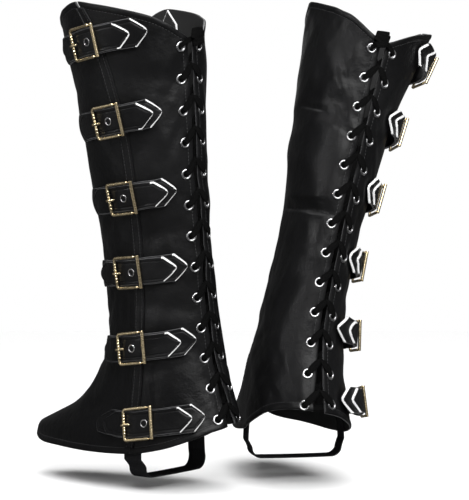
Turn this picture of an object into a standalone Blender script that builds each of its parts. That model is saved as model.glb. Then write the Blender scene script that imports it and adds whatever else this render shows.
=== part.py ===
"""Pair of tall boot covers: laced up the back, six buckled straps down the outer side.

Each cover is one leg's gaiter, worn and hollow. It is cut as an outer panel, from the
lacing to the placket, and a front panel, from the placket round the shin and the inner
side back to the lacing. The left and the right cover are one design, mirrored.

Places on a cover are given by three numbers:
  angle   round the leg, 0 at the calf, 90 at the outer side, 180 at the shin
  height  along the leg's axis, from the lowest reach of the hem
  lift    out from the cloth's outer face, along its normal
"""

import math

import bmesh
import bpy
from mathutils import Vector

MM = 0.001

# The origin is midway between the two ankles, at this height over the ground.
WEARER_HEIGHT = 130 * MM

# How each cover stands: where its axis meets the hem's level, its height there over the
# ground, the way its toe points (turned left from straight away), its lean outwards and the
# heights between which the leg bends over to it, how far the outer side flares out at the
# top, how far the lacing pulls up the inner side's top, and how far each strap row stands
# off the cloth at its buckle, from the hem up.
COVERS = {
    "left": dict(
        side=-1,
        x=-58.5,
        y=-14.0,
        over_ground=26.0,
        heading=54.0,
        lean=9.3,
        bend_low=0.0,
        bend_high=170.0,
        flare=4.0,
        inner_pull=0.0,
        bows=(3.0, 3.0, 3.0, 3.0, 3.0, 3.0),
    ),
    "right": dict(
        side=1,
        x=61.0,
        y=14.0,
        over_ground=37.5,
        heading=11.5,
        lean=12.0,
        bend_low=20.0,
        bend_high=150.0,
        flare=19.0,
        inner_pull=4.0,
        bows=(11.0, 9.0, 5.0, 4.0, 6.0, 7.0),
    ),
}
FLARE_FROM = 318.0
FLARE_TO = 424.0

# The leg's cross section: reach back and front of the axis, and half the width.
SECTION_COLUMNS = ("height", "back", "front", "half_width")
SECTIONS = (
    (-20, 90, 172, 52),
    (0, 88, 172, 51),
    (14, 84, 171, 50),
    (24, 81, 163, 49),
    (36, 77, 138, 48),
    (50, 73, 109, 46.5),
    (75, 66, 81, 44),
    (100, 61, 67, 41.5),
    (130, 59, 60, 39),
    (170, 58.5, 58.5, 36),
    (220, 59.5, 59.5, 37.5),
    (280, 62, 62, 43),
    (340, 66, 66, 48.5),
    (400, 72, 72, 52),
    (450, 80, 80, 55),
)

# The lower edge of the cloth all round, and its upper edge, alike on both sides.
EDGE_COLUMNS = ("angle", "height")
HEM = (
    (0, 36),
    (30, 30),
    (50, 22),
    (70, 14),
    (92, 8),
    (110, 6.5),
    (132, 9),
    (156, 12),
    (180, 14),
    (204, 12),
    (230, 9),
    (252, 9),
    (270, 14),
    (290, 25),
    (310, 34),
    (335, 37.5),
    (360, 36),
)
TOP = (
    (0, 377),
    (9, 381),
    (22, 389),
    (42, 401),
    (66, 411),
    (88, 419),
    (104, 424),
    (120, 422),
    (150, 414),
    (180, 411),
)
# The top edge over the leg's inner side, by its angle from the calf's middle.
INNER_TOP = (
    (0, 381),
    (10, 386),
    (20, 392.5),
    (30, 398.5),
    (40, 402.5),
    (50, 406.5),
    (60, 410),
    (70, 413.5),
    (80, 417),
    (91, 420),
    (100, 418),
    (110, 412.5),
    (125, 409),
    (150, 410),
    (180, 411),
)
PULL_ENDS_AT = 170
PULL_ENDS_OVER = 70

WALL = 1.8 * MM
SEAM = 0.3 * MM
SIT = 0.4 * MM

# The rolled edges at top and hem: distance in from the edge, and how far it swells out.
ROLL = ((0, 0.3), (2.0, 0.9), (5.5, 0.0))

# The lacing runs up the calf, turned a little to the outer side: the angle of its middle,
# half the distance between its two columns of eyelets, and half the gap of the panels.
LACING_COLUMNS = ("height", "angle", "half_spacing", "half_gap")
LACING = (
    (0, 3.0, 15.0, 6.6),
    (41, 4.5, 13.6, 5.2),
    (69, 7.0, 11.6, 3.2),
    (97, 8.0, 9.8, 2.3),
    (150, 8.0, 9.9, 2.3),
    (235, 8.0, 10.3, 2.4),
    (400, 8.0, 11.0, 2.8),
)
EYELETS = 13
EYELET_PITCH = 27.8 * MM
FIRST_EYELET = 41 * MM
HOLE_RADIUS = 2.9 * MM
HOLE_SIDES = 6

LACE_HALF_THICKNESS = 0.6 * MM
LACE_IN_HOLE_HALF_WIDTH = 1.5 * MM
LACE_AT_CROSSING_HALF_WIDTH = 0.9 * MM
LACE_CLEAR_OUTSIDE = 0.45 * MM
LACE_CLEAR_INSIDE = 1.1 * MM
LACE_HOLE_STEP = 0.9 * MM
# From an eyelet up over the cloth to the crossing: share of the way, share of the lift
# outside the cloth, and half width in mm. Then on inside the cloth, to the next eyelet.
LACE_RISING = ((0.32, 1.0, 2.9), (0.74, 1.0, 2.3), (0.88, 0.8, 0.9))
LACE_BEYOND = ((0.12, 0.9), (0.3, 2.9))
# The straight bar at the bottom: shares of the way across, and how far inside it lies.
LACE_BAR_SHARES = (-1.0, -0.4, 0.4)
LACE_BAR_INSIDE = 0.2 * MM
# From the top eyelet into the knot: share of the way, height gained and lift, in mm.
LACE_INTO_KNOT = ((0.5, 4.0, 2.2), (1.0, 7.0, 3.8))
LACE_INTO_KNOT_HALF_WIDTH = 2.3 * MM
KNOT_SQUARENESS = 0.8
KNOT = dict(across=7.0, up=8.5, out=3.6, toward_inner=3.5, over_top_eyelet=9.0, lift=4.3)

# The placket covers the seam of the two panels, under the buckles.
PLACKET_COLUMNS = ("height", "angle")
PLACKET = (
    (0, 92),
    (75, 89),
    (143, 86),
    (202, 82),
    (267, 79),
    (300, 79),
    (337, 83),
    (368, 87),
    (400, 94),
    (425, 103),
)
PLACKET_HALF_WIDTH = 5.5 * MM
PLACKET_THICKNESS = 1.1 * MM
PLACKET_EDGE_DROP = 0.35 * MM
LIFT_FULL_WITHIN = PLACKET_HALF_WIDTH + 2.2 * MM
LIFT_ENDS_AT = PLACKET_HALF_WIDTH + 12 * MM
# The two panels part in a small notch at the top of their seam.
NOTCH_HALF_WIDTH = 1.2 * MM
NOTCH_STARTS = 405 * MM
NOTCH_OPENS_OVER = 18 * MM

# The strap rows, from the hem up: height and angle of the buckle's middle, how far the rear
# tips of the under strap and of the tongue reach past it, and how much higher the first sits.
STRAP_COLUMNS = ("height", "angle", "under_rear", "tongue_rear", "rise")
STRAPS = (
    (36.5, 82.5, 60.0, 48.5, 8.5),
    (108.5, 89.5, 57.0, 44.0, 6.5),
    (180.0, 89.0, 52.5, 43.5, 2.5),
    (248.0, 85.0, 47.5, 40.0, 2.5),
    (317.0, 86.0, 47.0, 39.0, 3.5),
    (387.0, 94.5, 56.0, 41.5, 3.5),
)
UNDER_STRAP = dict(rear="under_rear", half_width=12.5, thickness=2.0, front=57.0, point=11.0)
TONGUE = dict(rear="tongue_rear", half_width=11.5, thickness=1.7, front=44.0, point=11.0)
# A strap stands off the cloth by its row's bow between the first two of these places, by
# this share of it at the under strap's rear tip, and not at all at its front end.
BOW_FULL_FROM = -24.0
BOW_FULL_TO = 17.0
BOW_AT_TIP = 0.25
TIP_HALF_WIDTH = 0.6 * MM
FLARE_BELOW = 130 * MM

BUCKLE_LENGTH = 31.5 * MM
BUCKLE_WIDTH = 30.2 * MM
BUCKLE_BAR = 2.6 * MM
BUCKLE_CORNER = 3.0 * MM
BUCKLE_BAR_SIDES = 6
# The prong's end on the front bar, in mm, but how high it sits as a share of the bar.
STUB = dict(length=9.0, width=2.2, thickness=1.8, past_bar=2.4, sits_over=0.25, dips=0.3)
# The strap may rise into the buckle's window this far over the frame's middle plane.
PRONG_CLEARS = 0.3 * MM
# How many places along the buckle are tried for the straps' highest point.
SEAT_SAMPLES = 16

STIRRUP_WIDTH = 20 * MM
STIRRUP_THICKNESS = 1.5 * MM
STIRRUP_ANGLE = 91.0
STIRRUP_INSIDE_TO = 30 * MM
STIRRUP_BOTTOM = -13 * MM
STIRRUP_CORNER = 10 * MM
STIRRUP_CLEAR = 0.85 * MM
STIRRUP_NARROWS = 3 * MM
STIRRUP_HEM_LEVEL = 4 * MM

OUTER_COLUMNS = 6
FRONT_COLUMNS = 20
BODY_ROWS = 17
ROWS_CROWD_DOWN = 1.25
PANEL_LENGTH = 395.0
SETTLE_ROUNDS = 5
AXIS_STEPS = 24
# How many of the front panel's columns lie within a strap's reach.
COLUMNS_UNDER_STRAPS = 9

# The largest folds: which cover, middle of the fold, its half length round the leg, its
# half width along the leg, its depth, and its slope as rise over run while the angle grows.
FOLD_LEG_RADIUS = 52.0
FOLD_COLUMNS = ("cover", "angle", "height", "length", "width", "depth", "slope")
FOLDS = (
    ("right", -62, 233, 46, 11, 3.2, -0.42),
    ("right", -40, 318, 34, 12, 1.6, -0.25),
    ("right", -70, 268, 40, 13, -1.8, -0.35),
    ("right", -95, 110, 40, 13, 2.2, 0.35),
    ("right", -60, 150, 30, 12, 1.4, -0.30),
    ("right", 55, 214, 26, 9, 1.3, 0.15),
    ("right", 60, 146, 26, 9, 1.5, -0.10),
    ("right", 165, 120, 34, 13, 2.6, 0.10),
    ("right", 175, 235, 34, 14, 1.8, -0.15),
    ("left", 50, 351, 26, 9, 1.6, 0.20),
    ("left", 52, 214, 24, 9, 1.5, -0.15),
    ("left", 56, 146, 26, 9, 1.8, 0.15),
    ("left", 165, 112, 34, 13, 2.4, 0.10),
    ("left", -60, 228, 44, 12, 2.6, -0.40),
    ("left", -95, 120, 40, 13, 2.2, 0.30),
    ("left", 178, 190, 34, 14, 2.0, 0.15),
    ("left", -120, 300, 36, 13, 1.6, -0.25),
)


def column(rows, names, name):
    place = names.index(name)
    return [row[place] for row in rows]


def curve_through(xs, ys, x):
    """Smooth value at x of the curve through the points, level with its end values outside."""
    if x <= xs[0]:
        return ys[0]
    if x >= xs[-1]:
        return ys[-1]
    i = max(k for k in range(len(xs) - 1) if xs[k] <= x)

    def slope(k):
        low = max(k - 1, 0)
        high = min(k + 1, len(xs) - 1)
        return (ys[high] - ys[low]) / (xs[high] - xs[low])

    width = xs[i + 1] - xs[i]
    t = (x - xs[i]) / width
    start = (1 + 2 * t) * (1 - t) ** 2 * ys[i] + t * (1 - t) ** 2 * width * slope(i)
    end = t * t * (3 - 2 * t) * ys[i + 1] + t * t * (t - 1) * width * slope(i + 1)
    return start + end


def from_table(rows, names, value, key):
    """The named column of a table, at a key in its first column, both in the table's units."""
    return curve_through(column(rows, names, names[0]), column(rows, names, value), key)


def ease(t):
    t = min(max(t, 0.0), 1.0)
    return t * t * (3 - 2 * t)


def hem_height(angle):
    return from_table(HEM, EDGE_COLUMNS, "height", angle % 360) * MM


def top_height(cover, angle):
    """Height of the top edge at an angle from 0 at the calf over the outer side to 360."""
    if angle <= 180:
        return from_table(TOP, EDGE_COLUMNS, "height", angle) * MM
    away = 360 - angle
    pulled = cover.inner_pull * ease((PULL_ENDS_AT - away) / PULL_ENDS_OVER)
    return (from_table(INNER_TOP, EDGE_COLUMNS, "height", away) + pulled) * MM


class Cover:
    """One leg's cover: turns angle, height and lift into a point of the frame."""

    def __init__(self, name):
        place = COVERS[name]
        self.name = name
        turn = math.radians(place["heading"])
        self.toeward = Vector((-math.sin(turn), math.cos(turn), 0))
        self.outward = Vector((math.cos(turn), math.sin(turn), 0)) * place["side"]
        self.lean = math.radians(place["lean"])
        self.bend = (place["bend_low"] * MM, place["bend_high"] * MM)
        self.flare = place["flare"]
        self.inner_pull = place["inner_pull"]
        self.bows = place["bows"]
        base = place["over_ground"] * MM - WEARER_HEIGHT
        self.base = Vector((place["x"] * MM, place["y"] * MM, base))
        self.folds = [row for row in FOLDS if row[0] == name]
        self.known = {}
        self.columns = {}

    def tilt(self, height):
        low, high = self.bend
        return self.lean * ease((height - low) / (high - low))

    def axis_point(self, height):
        """Point of the leg's axis, and the direction across the leg to its outer side."""
        point = self.base.copy()
        for k in range(AXIS_STEPS):
            tilt = self.tilt(height * (k + 0.5) / AXIS_STEPS)
            step = self.outward * math.sin(tilt) + Vector((0, 0, math.cos(tilt)))
            point += step * (height / AXIS_STEPS)
        tilt = self.tilt(height)
        across = self.outward * math.cos(tilt) - Vector((0, 0, math.sin(tilt)))
        return point, across

    def fold_depth(self, angle, height):
        depth = 0.0
        for row in self.folds:
            fold = dict(zip(FOLD_COLUMNS, row))
            turn = (angle - fold["angle"] + 180) % 360 - 180
            round_leg = math.radians(turn) * FOLD_LEG_RADIUS
            up = height / MM - fold["height"]
            run = abs(round_leg) / fold["length"]
            rise = (up - fold["slope"] * round_leg) / fold["width"]
            depth += fold["depth"] * math.exp(-rise * rise) * (1 - ease(run - 0.35))
        return depth * MM

    def cloth(self, angle, height):
        """Point of the cloth's outer face."""
        turn = math.radians(angle)
        mm = height / MM
        reach = "back" if math.cos(turn) > 0 else "front"
        depth = from_table(SECTIONS, SECTION_COLUMNS, reach, mm) * MM
        half_width = from_table(SECTIONS, SECTION_COLUMNS, "half_width", mm) * MM
        point, across = self.axis_point(height)
        inward = 1 - self.fold_depth(angle, height) / math.hypot(
            depth * math.cos(turn), half_width * math.sin(turn)
        )
        sideways = half_width * math.sin(turn) * inward
        if math.sin(turn) > 0:
            flare = self.flare * MM * ease((mm - FLARE_FROM) / (FLARE_TO - FLARE_FROM))
            point += self.outward * (flare * math.sin(turn) ** 2)
        return point - self.toeward * (depth * math.cos(turn) * inward) + across * sideways

    def point(self, angle, height, lift=0.0):
        key = (round(angle, 4), round(height, 7))
        if key not in self.known:
            middle = self.cloth(angle, height)
            round_leg = self.cloth(angle + 1.0, height) - self.cloth(angle - 1.0, height)
            up_leg = self.cloth(angle, height + 2 * MM) - self.cloth(angle, height - 2 * MM)
            normal = round_leg.cross(up_leg).normalized()
            turn = math.radians(angle)
            rough = self.outward * math.sin(turn) - self.toeward * math.cos(turn)
            if normal.dot(rough) < 0:
                normal = -normal
            self.known[key] = (middle, normal)
        middle, normal = self.known[key]
        return middle + normal * lift

    def degrees_for(self, distance, angle, height):
        """Degrees round the leg that cover a distance on the cloth."""
        length = (self.cloth(angle + 0.5, height) - self.cloth(angle - 0.5, height)).length
        return distance / length

    def lacing_angle(self, height, distance):
        """Angle of a point at a distance from the lacing's middle, outer side positive."""
        middle = from_table(LACING, LACING_COLUMNS, "angle", height / MM)
        return middle + self.degrees_for(distance, middle, height)

    def placket_angle(self, height):
        return from_table(PLACKET, PLACKET_COLUMNS, "angle", height / MM)


def lacing_mm(value, height):
    return from_table(LACING, LACING_COLUMNS, value, height / MM) * MM


def ring_angle(cover, place, height):
    """Angle of a column: 0 at the outer lacing edge, OUTER_COLUMNS at the placket, and on."""
    gap = lacing_mm("half_gap", height)
    start = cover.lacing_angle(height, gap)
    seam = cover.placket_angle(height)
    end = 360 + cover.lacing_angle(height, -gap)
    if place <= OUTER_COLUMNS:
        return start + (seam - start) * place / OUTER_COLUMNS
    return seam + (end - seam) * (place - OUTER_COLUMNS) / FRONT_COLUMNS


def panel_height(cover, angle, share):
    low = hem_height(angle)
    return low + (top_height(cover, angle) - low) * share


def settle(cover, place, share):
    """Angle and height of a panel's grid point, whose column leans with the height."""
    height = panel_height(cover, 180.0, share)
    for _ in range(SETTLE_ROUNDS):
        angle = ring_angle(cover, place, height)
        height = panel_height(cover, angle, share)
    return angle, height


def panel_rows():
    """(share of the way up, swell of the rolled edge) of each row, crowded at the foot."""
    inset = ROLL[-1][0]
    rows = [(away / PANEL_LENGTH, swell) for away, swell in ROLL]
    for k in range(1, BODY_ROWS):
        share = (k / BODY_ROWS) ** ROWS_CROWD_DOWN
        rows.append(((inset + (PANEL_LENGTH - 2 * inset) * share) / PANEL_LENGTH, 0.0))
    rows += [(1 - away / PANEL_LENGTH, swell) for away, swell in reversed(ROLL)]
    return rows


def ring_point(cover, place, height, lift=0.0):
    """Point over the panels, which are flat between two columns and two rows."""

    def on_column(column_place):
        if column_place not in cover.columns:
            rows = [settle(cover, column_place, share) for share, _ in panel_rows()]
            cover.columns[column_place] = rows
        line = cover.columns[column_place]
        k = max(i for i in range(len(line) - 1) if i == 0 or line[i][1] <= height)
        share = (height - line[k][1]) / (line[k + 1][1] - line[k][1])
        return cover.point(*line[k], lift).lerp(cover.point(*line[k + 1], lift), share)

    low = math.floor(place)
    part = place - low
    first = on_column(low)
    if part < 1e-9:
        return first
    return first.lerp(on_column(low + 1), part)


def true_to_slope(cover, place, height, half):
    """Height that half a width takes up, where the cloth slopes out over its axis."""
    low = ring_point(cover, place, height - half)
    high = ring_point(cover, place, height + half)
    return half * 2 * half / (high - low).length


class Ring:
    """The panels' columns at one height, with the distance of each forwards from the placket."""

    def __init__(self, cover, height):
        self.cover = cover
        self.height = height
        self.places = list(range(OUTER_COLUMNS + COLUMNS_UNDER_STRAPS))
        points = [ring_point(cover, place, height) for place in self.places]
        walked = [0.0]
        for before, after in zip(points, points[1:]):
            walked.append(walked[-1] + (after - before).length)
        self.reach = [distance - walked[OUTER_COLUMNS] for distance in walked]

    def place(self, reach):
        k = max(i for i in range(len(self.reach) - 1) if i == 0 or self.reach[i] <= reach)
        return k + (reach - self.reach[k]) / (self.reach[k + 1] - self.reach[k])

    def reach_of_angle(self, angle):
        angles = [ring_angle(self.cover, place, self.height) for place in self.places]
        k = max(i for i in range(len(angles) - 1) if i == 0 or angles[i] <= angle)
        share = (angle - angles[k]) / (angles[k + 1] - angles[k])
        return self.reach[k] + share * (self.reach[k + 1] - self.reach[k])

    def columns_between(self, low, high):
        return [reach for reach in self.reach if low < reach < high]


def new_material(name, colour, roughness, metallic=0.0):
    material = bpy.data.materials.new(name)
    material.use_nodes = True
    shader = material.node_tree.nodes["Principled BSDF"]
    shader.inputs["Base Color"].default_value = (*colour, 1)
    shader.inputs["Roughness"].default_value = roughness
    shader.inputs["Metallic"].default_value = metallic
    material.diffuse_color = (*colour, 1)
    return material


def new_object(name, points, faces, material, hidden=False):
    mesh = bpy.data.meshes.new(name)
    mesh.from_pydata([tuple(point) for point in points], [], faces)
    shape = bmesh.new()
    shape.from_mesh(mesh)
    bmesh.ops.recalc_face_normals(shape, faces=shape.faces)
    bmesh.ops.triangulate(shape, faces=[face for face in shape.faces if len(face.verts) > 4])
    shape.to_mesh(mesh)
    shape.free()
    mesh.materials.append(material)
    obj = bpy.data.objects.new(name, mesh)
    bpy.context.scene.collection.objects.link(obj)
    if hidden:
        obj.hide_render = True
        obj.display_type = "WIRE"
    return obj


def slab(name, outer, inner, material, hidden=False):
    """Closed solid between two grids of points that have the same rows and columns."""
    rows = len(outer)
    columns = len(outer[0])
    points = [point for row in outer for point in row] + [point for row in inner for point in row]
    half = rows * columns

    def at(row, col, layer):
        return layer * half + row * columns + col

    faces = []
    for row in range(rows - 1):
        for col in range(columns - 1):
            for layer in (0, 1):
                corners = [at(row, col, layer), at(row, col + 1, layer)]
                corners += [at(row + 1, col + 1, layer), at(row + 1, col, layer)]
                faces.append(corners)
    for row in range(rows - 1):
        for col in (0, columns - 1):
            faces.append([at(row, col, 0), at(row + 1, col, 0), at(row + 1, col, 1), at(row, col, 1)])
    for col in range(columns - 1):
        for row in (0, rows - 1):
            faces.append([at(row, col, 0), at(row, col + 1, 0), at(row, col + 1, 1), at(row, col, 1)])
    return new_object(name, points, faces, material, hidden)


def sweep(name, frames, material, hidden=False):
    """Closed bar through frames of (middle, half width vector, half thickness vector)."""
    points = []
    faces = []
    for middle, wide, thick in frames:
        points += [middle - wide - thick, middle + wide - thick]
        points += [middle + wide + thick, middle - wide + thick]
    last = len(frames) - 1
    for k in range(last):
        for side in range(4):
            near = 4 * k + side
            next_side = 4 * k + (side + 1) % 4
            faces.append([near, next_side, next_side + 4, near + 4])
    faces += [[0, 1, 2, 3], [4 * last + side for side in range(4)]]
    return new_object(name, points, faces, material, hidden)


def combine(obj, other, operation):
    modifier = obj.modifiers.new(operation.title(), "BOOLEAN")
    modifier.operation = operation
    modifier.object = other


def make_panel(cover, name, first, last, material):
    outer, inner = [], []
    for share, swell in panel_rows():
        outer_row, inner_row = [], []
        for place in range(first, last + 1):
            angle, height = settle(cover, place, share)
            shift = 0.0
            if place == OUTER_COLUMNS:
                notch = NOTCH_HALF_WIDTH * ease((height - NOTCH_STARTS) / NOTCH_OPENS_OVER)
                half = SEAM / 2 + notch
                shift = cover.degrees_for(half if first == OUTER_COLUMNS else -half, angle, height)
            outer_row.append(cover.point(angle + shift, height, swell * MM))
            inner_row.append(cover.point(angle + shift, height, -WALL))
        outer.append(outer_row)
        inner.append(inner_row)
    return slab(f"{cover.name}_{name}", outer, inner, material)


def eyelet_heights():
    return [FIRST_EYELET + EYELET_PITCH * k for k in range(EYELETS)]


def lacing_point(cover, distance, height, lift):
    """Point over the lacing, at a distance from its middle towards the outer side."""
    return cover.point(cover.lacing_angle(height, distance), height, lift)


def make_hole_cutter(cover, side, name, material):
    """One mesh of thirteen short rods, where one panel's eyelets go through it."""
    points, faces = [], []
    for height in eyelet_heights():
        distance = side * lacing_mm("half_spacing", height)
        middle = lacing_point(cover, distance, height, -WALL / 2)
        out, up = lacing_directions(cover, distance, height)
        across = out.cross(up)
        first = len(points)
        for end in (-3 * WALL, 3 * WALL):
            for k in range(HOLE_SIDES):
                turn = 2 * math.pi * (k + 0.5) / HOLE_SIDES
                spoke = up * math.cos(turn) + across * math.sin(turn)
                points.append(middle + out * end + spoke * HOLE_RADIUS)
        low = [first + k for k in range(HOLE_SIDES)]
        high = [first + HOLE_SIDES + k for k in range(HOLE_SIDES)]
        faces += [low[::-1], high]
        for k in range(HOLE_SIDES):
            after = (k + 1) % HOLE_SIDES
            faces.append([low[k], low[after], high[after], high[k]])
    return new_object(f"{cover.name}_{name}", points, faces, material, hidden=True)


def lace_route(start_side):
    """One half of the lace, bottom to top: (distance, height, lift, half width)."""
    keys = []
    heights = eyelet_heights()
    outside = LACE_HALF_THICKNESS + LACE_CLEAR_OUTSIDE
    inside = -WALL - LACE_HALF_THICKNESS - LACE_CLEAR_INSIDE
    middle = -WALL / 2
    slim = LACE_IN_HOLE_HALF_WIDTH
    for row, height in enumerate(heights):
        side = start_side * (-1) ** row
        reach = lacing_mm("half_spacing", height) * side
        keys.append((reach, height - LACE_HOLE_STEP, inside, slim))
        keys.append((reach, height + LACE_HOLE_STEP, outside, slim))
        if row == EYELETS - 1:
            break
        half_pitch = EYELET_PITCH / 2
        for share, lifted, half in LACE_RISING:
            up = height + half_pitch * share
            keys.append((reach * (1 - share), up, outside * lifted, half * MM))
        keys.append((0.0, height + half_pitch, middle, LACE_AT_CROSSING_HALF_WIDTH))
        beyond = lacing_mm("half_spacing", heights[row + 1]) * -side
        for share, half in LACE_BEYOND:
            keys.append((beyond * share, height + half_pitch * (1 + share), inside, half * MM))
    return keys


def make_lace(cover, material):
    """The lace of one cover: two halves that cross in the gap, tied in a knot at the top."""
    halves = []
    for start_side in (1, -1):
        keys = lace_route(start_side)
        if start_side == 1:
            distance, height, lift, half = keys[0]
            lift -= LACE_BAR_INSIDE
            bar = [(share * distance, height, lift, half) for share in LACE_BAR_SHARES]
            keys = bar + keys
        keys += lace_ends(keys[-1])
        hidden = start_side == -1
        name = f"{cover.name}_lace_half" if hidden else f"{cover.name}_lace"
        halves.append(sweep(name, lace_frames(cover, keys), material, hidden))
    combine(halves[0], halves[1], "UNION")
    combine(halves[0], make_knot(cover, material), "UNION")


def lace_ends(last):
    """The lace from its top eyelet into the knot, which stands out from the cloth."""
    distance, height = last[:2]
    knot = -KNOT["toward_inner"] * MM
    ends = []
    for share, gained, lift in LACE_INTO_KNOT:
        across = distance + (knot - distance) * share
        ends.append((across, height + gained * MM, lift * MM, LACE_INTO_KNOT_HALF_WIDTH))
    return ends


def lace_frames(cover, keys):
    """Frames for a flat band through the keys, its width along the cloth."""
    middles = [lacing_point(cover, *key[:3]) for key in keys]
    frames = []
    for k, (distance, height, _, half) in enumerate(keys):
        before = middles[max(k - 1, 0)]
        after = middles[min(k + 1, len(keys) - 1)]
        along = (after - before).normalized()
        out, up = lacing_directions(cover, distance, height)
        if abs(along.dot(out)) > 0.8:
            wide = (up - along * up.dot(along)).normalized()
        else:
            wide = out.cross(along).normalized()
            if wide.z < 0:
                wide = -wide
        thick = along.cross(wide).normalized()
        frames.append((middles[k], wide * half, thick * LACE_HALF_THICKNESS))
    return frames


def lacing_directions(cover, distance, height):
    """Unit vectors out of the cloth and up along it, at a place of the lacing."""
    here = lacing_point(cover, distance, height, 0)
    out = (lacing_point(cover, distance, height, MM) - here).normalized()
    up = (lacing_point(cover, distance, height + MM, 0) - here).normalized()
    return out, (up - out * up.dot(out)).normalized()


def make_knot(cover, material):
    shape = bmesh.new()
    bmesh.ops.create_icosphere(shape, subdivisions=1, radius=1.0)
    height = eyelet_heights()[-1] + KNOT["over_top_eyelet"] * MM
    distance = -KNOT["toward_inner"] * MM
    middle = lacing_point(cover, distance, height, KNOT["lift"] * MM)
    out, up = lacing_directions(cover, distance, height)
    across = out.cross(up)
    points = []
    for vert in shape.verts:
        x, y, z = (math.copysign(abs(c) ** KNOT_SQUARENESS, c) for c in vert.co)
        spread = across * (x * KNOT["across"] * MM) + up * (y * KNOT["up"] * MM)
        points.append(middle + spread + out * (z * KNOT["out"] * MM))
    faces = [[vert.index for vert in face.verts] for face in shape.faces]
    shape.free()
    return new_object(f"{cover.name}_knot_form", points, faces, material, hidden=True)


def make_placket(cover, material):
    outer, inner = [], []
    for share, _ in panel_rows()[len(ROLL) - 1 : -len(ROLL) + 1]:
        outer_row, inner_row = [], []
        _, height = settle(cover, OUTER_COLUMNS, share)
        ring = Ring(cover, height)
        for distance in (-PLACKET_HALF_WIDTH, 0, PLACKET_HALF_WIDTH):
            edge = PLACKET_EDGE_DROP if distance else 0.0
            place = ring.place(distance)
            outer_row.append(ring_point(cover, place, height, SIT + PLACKET_THICKNESS - edge))
            inner_row.append(ring_point(cover, place, height, SIT))
        outer.append(outer_row)
        inner.append(inner_row)
    return slab(f"{cover.name}_placket", outer, inner, material)


def strap_half_width(to_end, strap):
    """Half the width at a distance from the nearer end, which is pointed."""
    share = min(max(to_end / (strap["point"] * MM), 0.0), 1.0)
    return TIP_HALF_WIDTH + (strap["half_width"] * MM - TIP_HALF_WIDTH) * share


def lift_over_placket(reach):
    """How far a strap stands off the cloth where the placket is under it."""
    share = (LIFT_ENDS_AT - abs(reach)) / (LIFT_ENDS_AT - LIFT_FULL_WITHIN)
    return (PLACKET_THICKNESS + SEAM) * min(max(share, 0.0), 1.0)


def bow(cover, number, past_buckle):
    """How far a strap row stands off the cloth, at a distance in front of the buckle."""
    size = dict(zip(STRAP_COLUMNS, STRAPS[number - 1]))
    full = cover.bows[number - 1]
    knots = (-size["under_rear"], BOW_FULL_FROM, BOW_FULL_TO, UNDER_STRAP["front"])
    lifts = (full * BOW_AT_TIP, full, full, 0.0)
    mm = min(max(past_buckle / MM, knots[0]), knots[-1])
    k = max(i for i in range(len(knots) - 1) if knots[i] <= mm)
    share = (mm - knots[k]) / (knots[k + 1] - knots[k])
    return (lifts[k] + (lifts[k + 1] - lifts[k]) * share) * MM


def make_strap(cover, number, strap, name, under, material):
    """A strap with two pointed ends; under is its lift over the cloth away from the placket."""
    size = dict(zip(STRAP_COLUMNS, STRAPS[number - 1]))
    height = size["height"] * MM
    ring = Ring(cover, height)
    buckle = ring.reach_of_angle(size["angle"])
    point = strap["point"] * MM
    rear = buckle - size[strap["rear"]] * MM
    front = buckle + strap["front"] * MM
    stations = {rear, rear + point, front - point, front}
    stations |= {-LIFT_ENDS_AT, -LIFT_FULL_WITHIN, LIFT_FULL_WITHIN, LIFT_ENDS_AT}
    stations |= {buckle + BOW_FULL_FROM * MM, buckle + BOW_FULL_TO * MM}
    stations |= set(ring.columns_between(rear, front))
    across = (-1, 0, 1) if height < FLARE_BELOW else (-1, 1)
    outer, inner = [], []
    for reach in sorted(stations):
        place = ring.place(reach)
        level = height + size["rise"] / size["under_rear"] * (buckle - reach)
        half = strap_half_width(min(reach - rear, front - reach), strap)
        half = true_to_slope(cover, place, level, half)
        lift = under + lift_over_placket(reach) + bow(cover, number, reach - buckle)
        top = lift + strap["thickness"] * MM
        outer.append([ring_point(cover, place, level + side * half, top) for side in across])
        inner.append([ring_point(cover, place, level + side * half, lift) for side in across])
    return slab(f"{cover.name}_{name}", outer, inner, material)


def buckle_mesh(material):
    """Rectangular frame in the XY plane, X along the strap, with the prong's end on one bar."""
    half_long = (BUCKLE_LENGTH - BUCKLE_BAR) / 2
    half_wide = (BUCKLE_WIDTH - BUCKLE_BAR) / 2
    frames = []
    radius = BUCKLE_CORNER
    for corner, (sx, sy) in enumerate(((1, 1), (-1, 1), (-1, -1), (1, -1))):
        centre = Vector((sx * (half_long - radius), sy * (half_wide - radius), 0))
        for step in range(3):
            turn = math.pi / 2 * (corner + step / 2)
            spoke = Vector((math.cos(turn), math.sin(turn), 0))
            frames.append((centre + spoke * radius, spoke))
    points, faces = [], []
    sides = BUCKLE_BAR_SIDES
    for middle, spoke in frames:
        for k in range(sides):
            turn = 2 * math.pi * (k + 0.5) / sides
            out = spoke * math.cos(turn) + Vector((0, 0, 1)) * math.sin(turn)
            points.append(middle + out * (BUCKLE_BAR / 2))
    count = len(frames)
    for k in range(count):
        for side in range(sides):
            after = (k + 1) % count
            next_side = (side + 1) % sides
            near, far = k * sides, after * sides
            faces.append([near + side, far + side, far + next_side, near + next_side])
    frame = new_object("buckle_form", points, faces, material, hidden=True)
    stub = STUB["length"] * MM
    reach = -BUCKLE_LENGTH / 2 - STUB["past_bar"] * MM
    thick = Vector((0, 0, STUB["thickness"] * MM / 2))
    over_bar = BUCKLE_BAR * STUB["sits_over"] + thick.z
    wide = Vector((0, STUB["width"] * MM / 2, 0))
    ends = (Vector((reach, 0, over_bar)), Vector((reach + stub, 0, over_bar - STUB["dips"] * MM)))
    prong = sweep("prong_form", [(end, wide, thick) for end in ends], material, hidden=True)
    combine(frame, prong, "UNION")
    return frame


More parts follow.
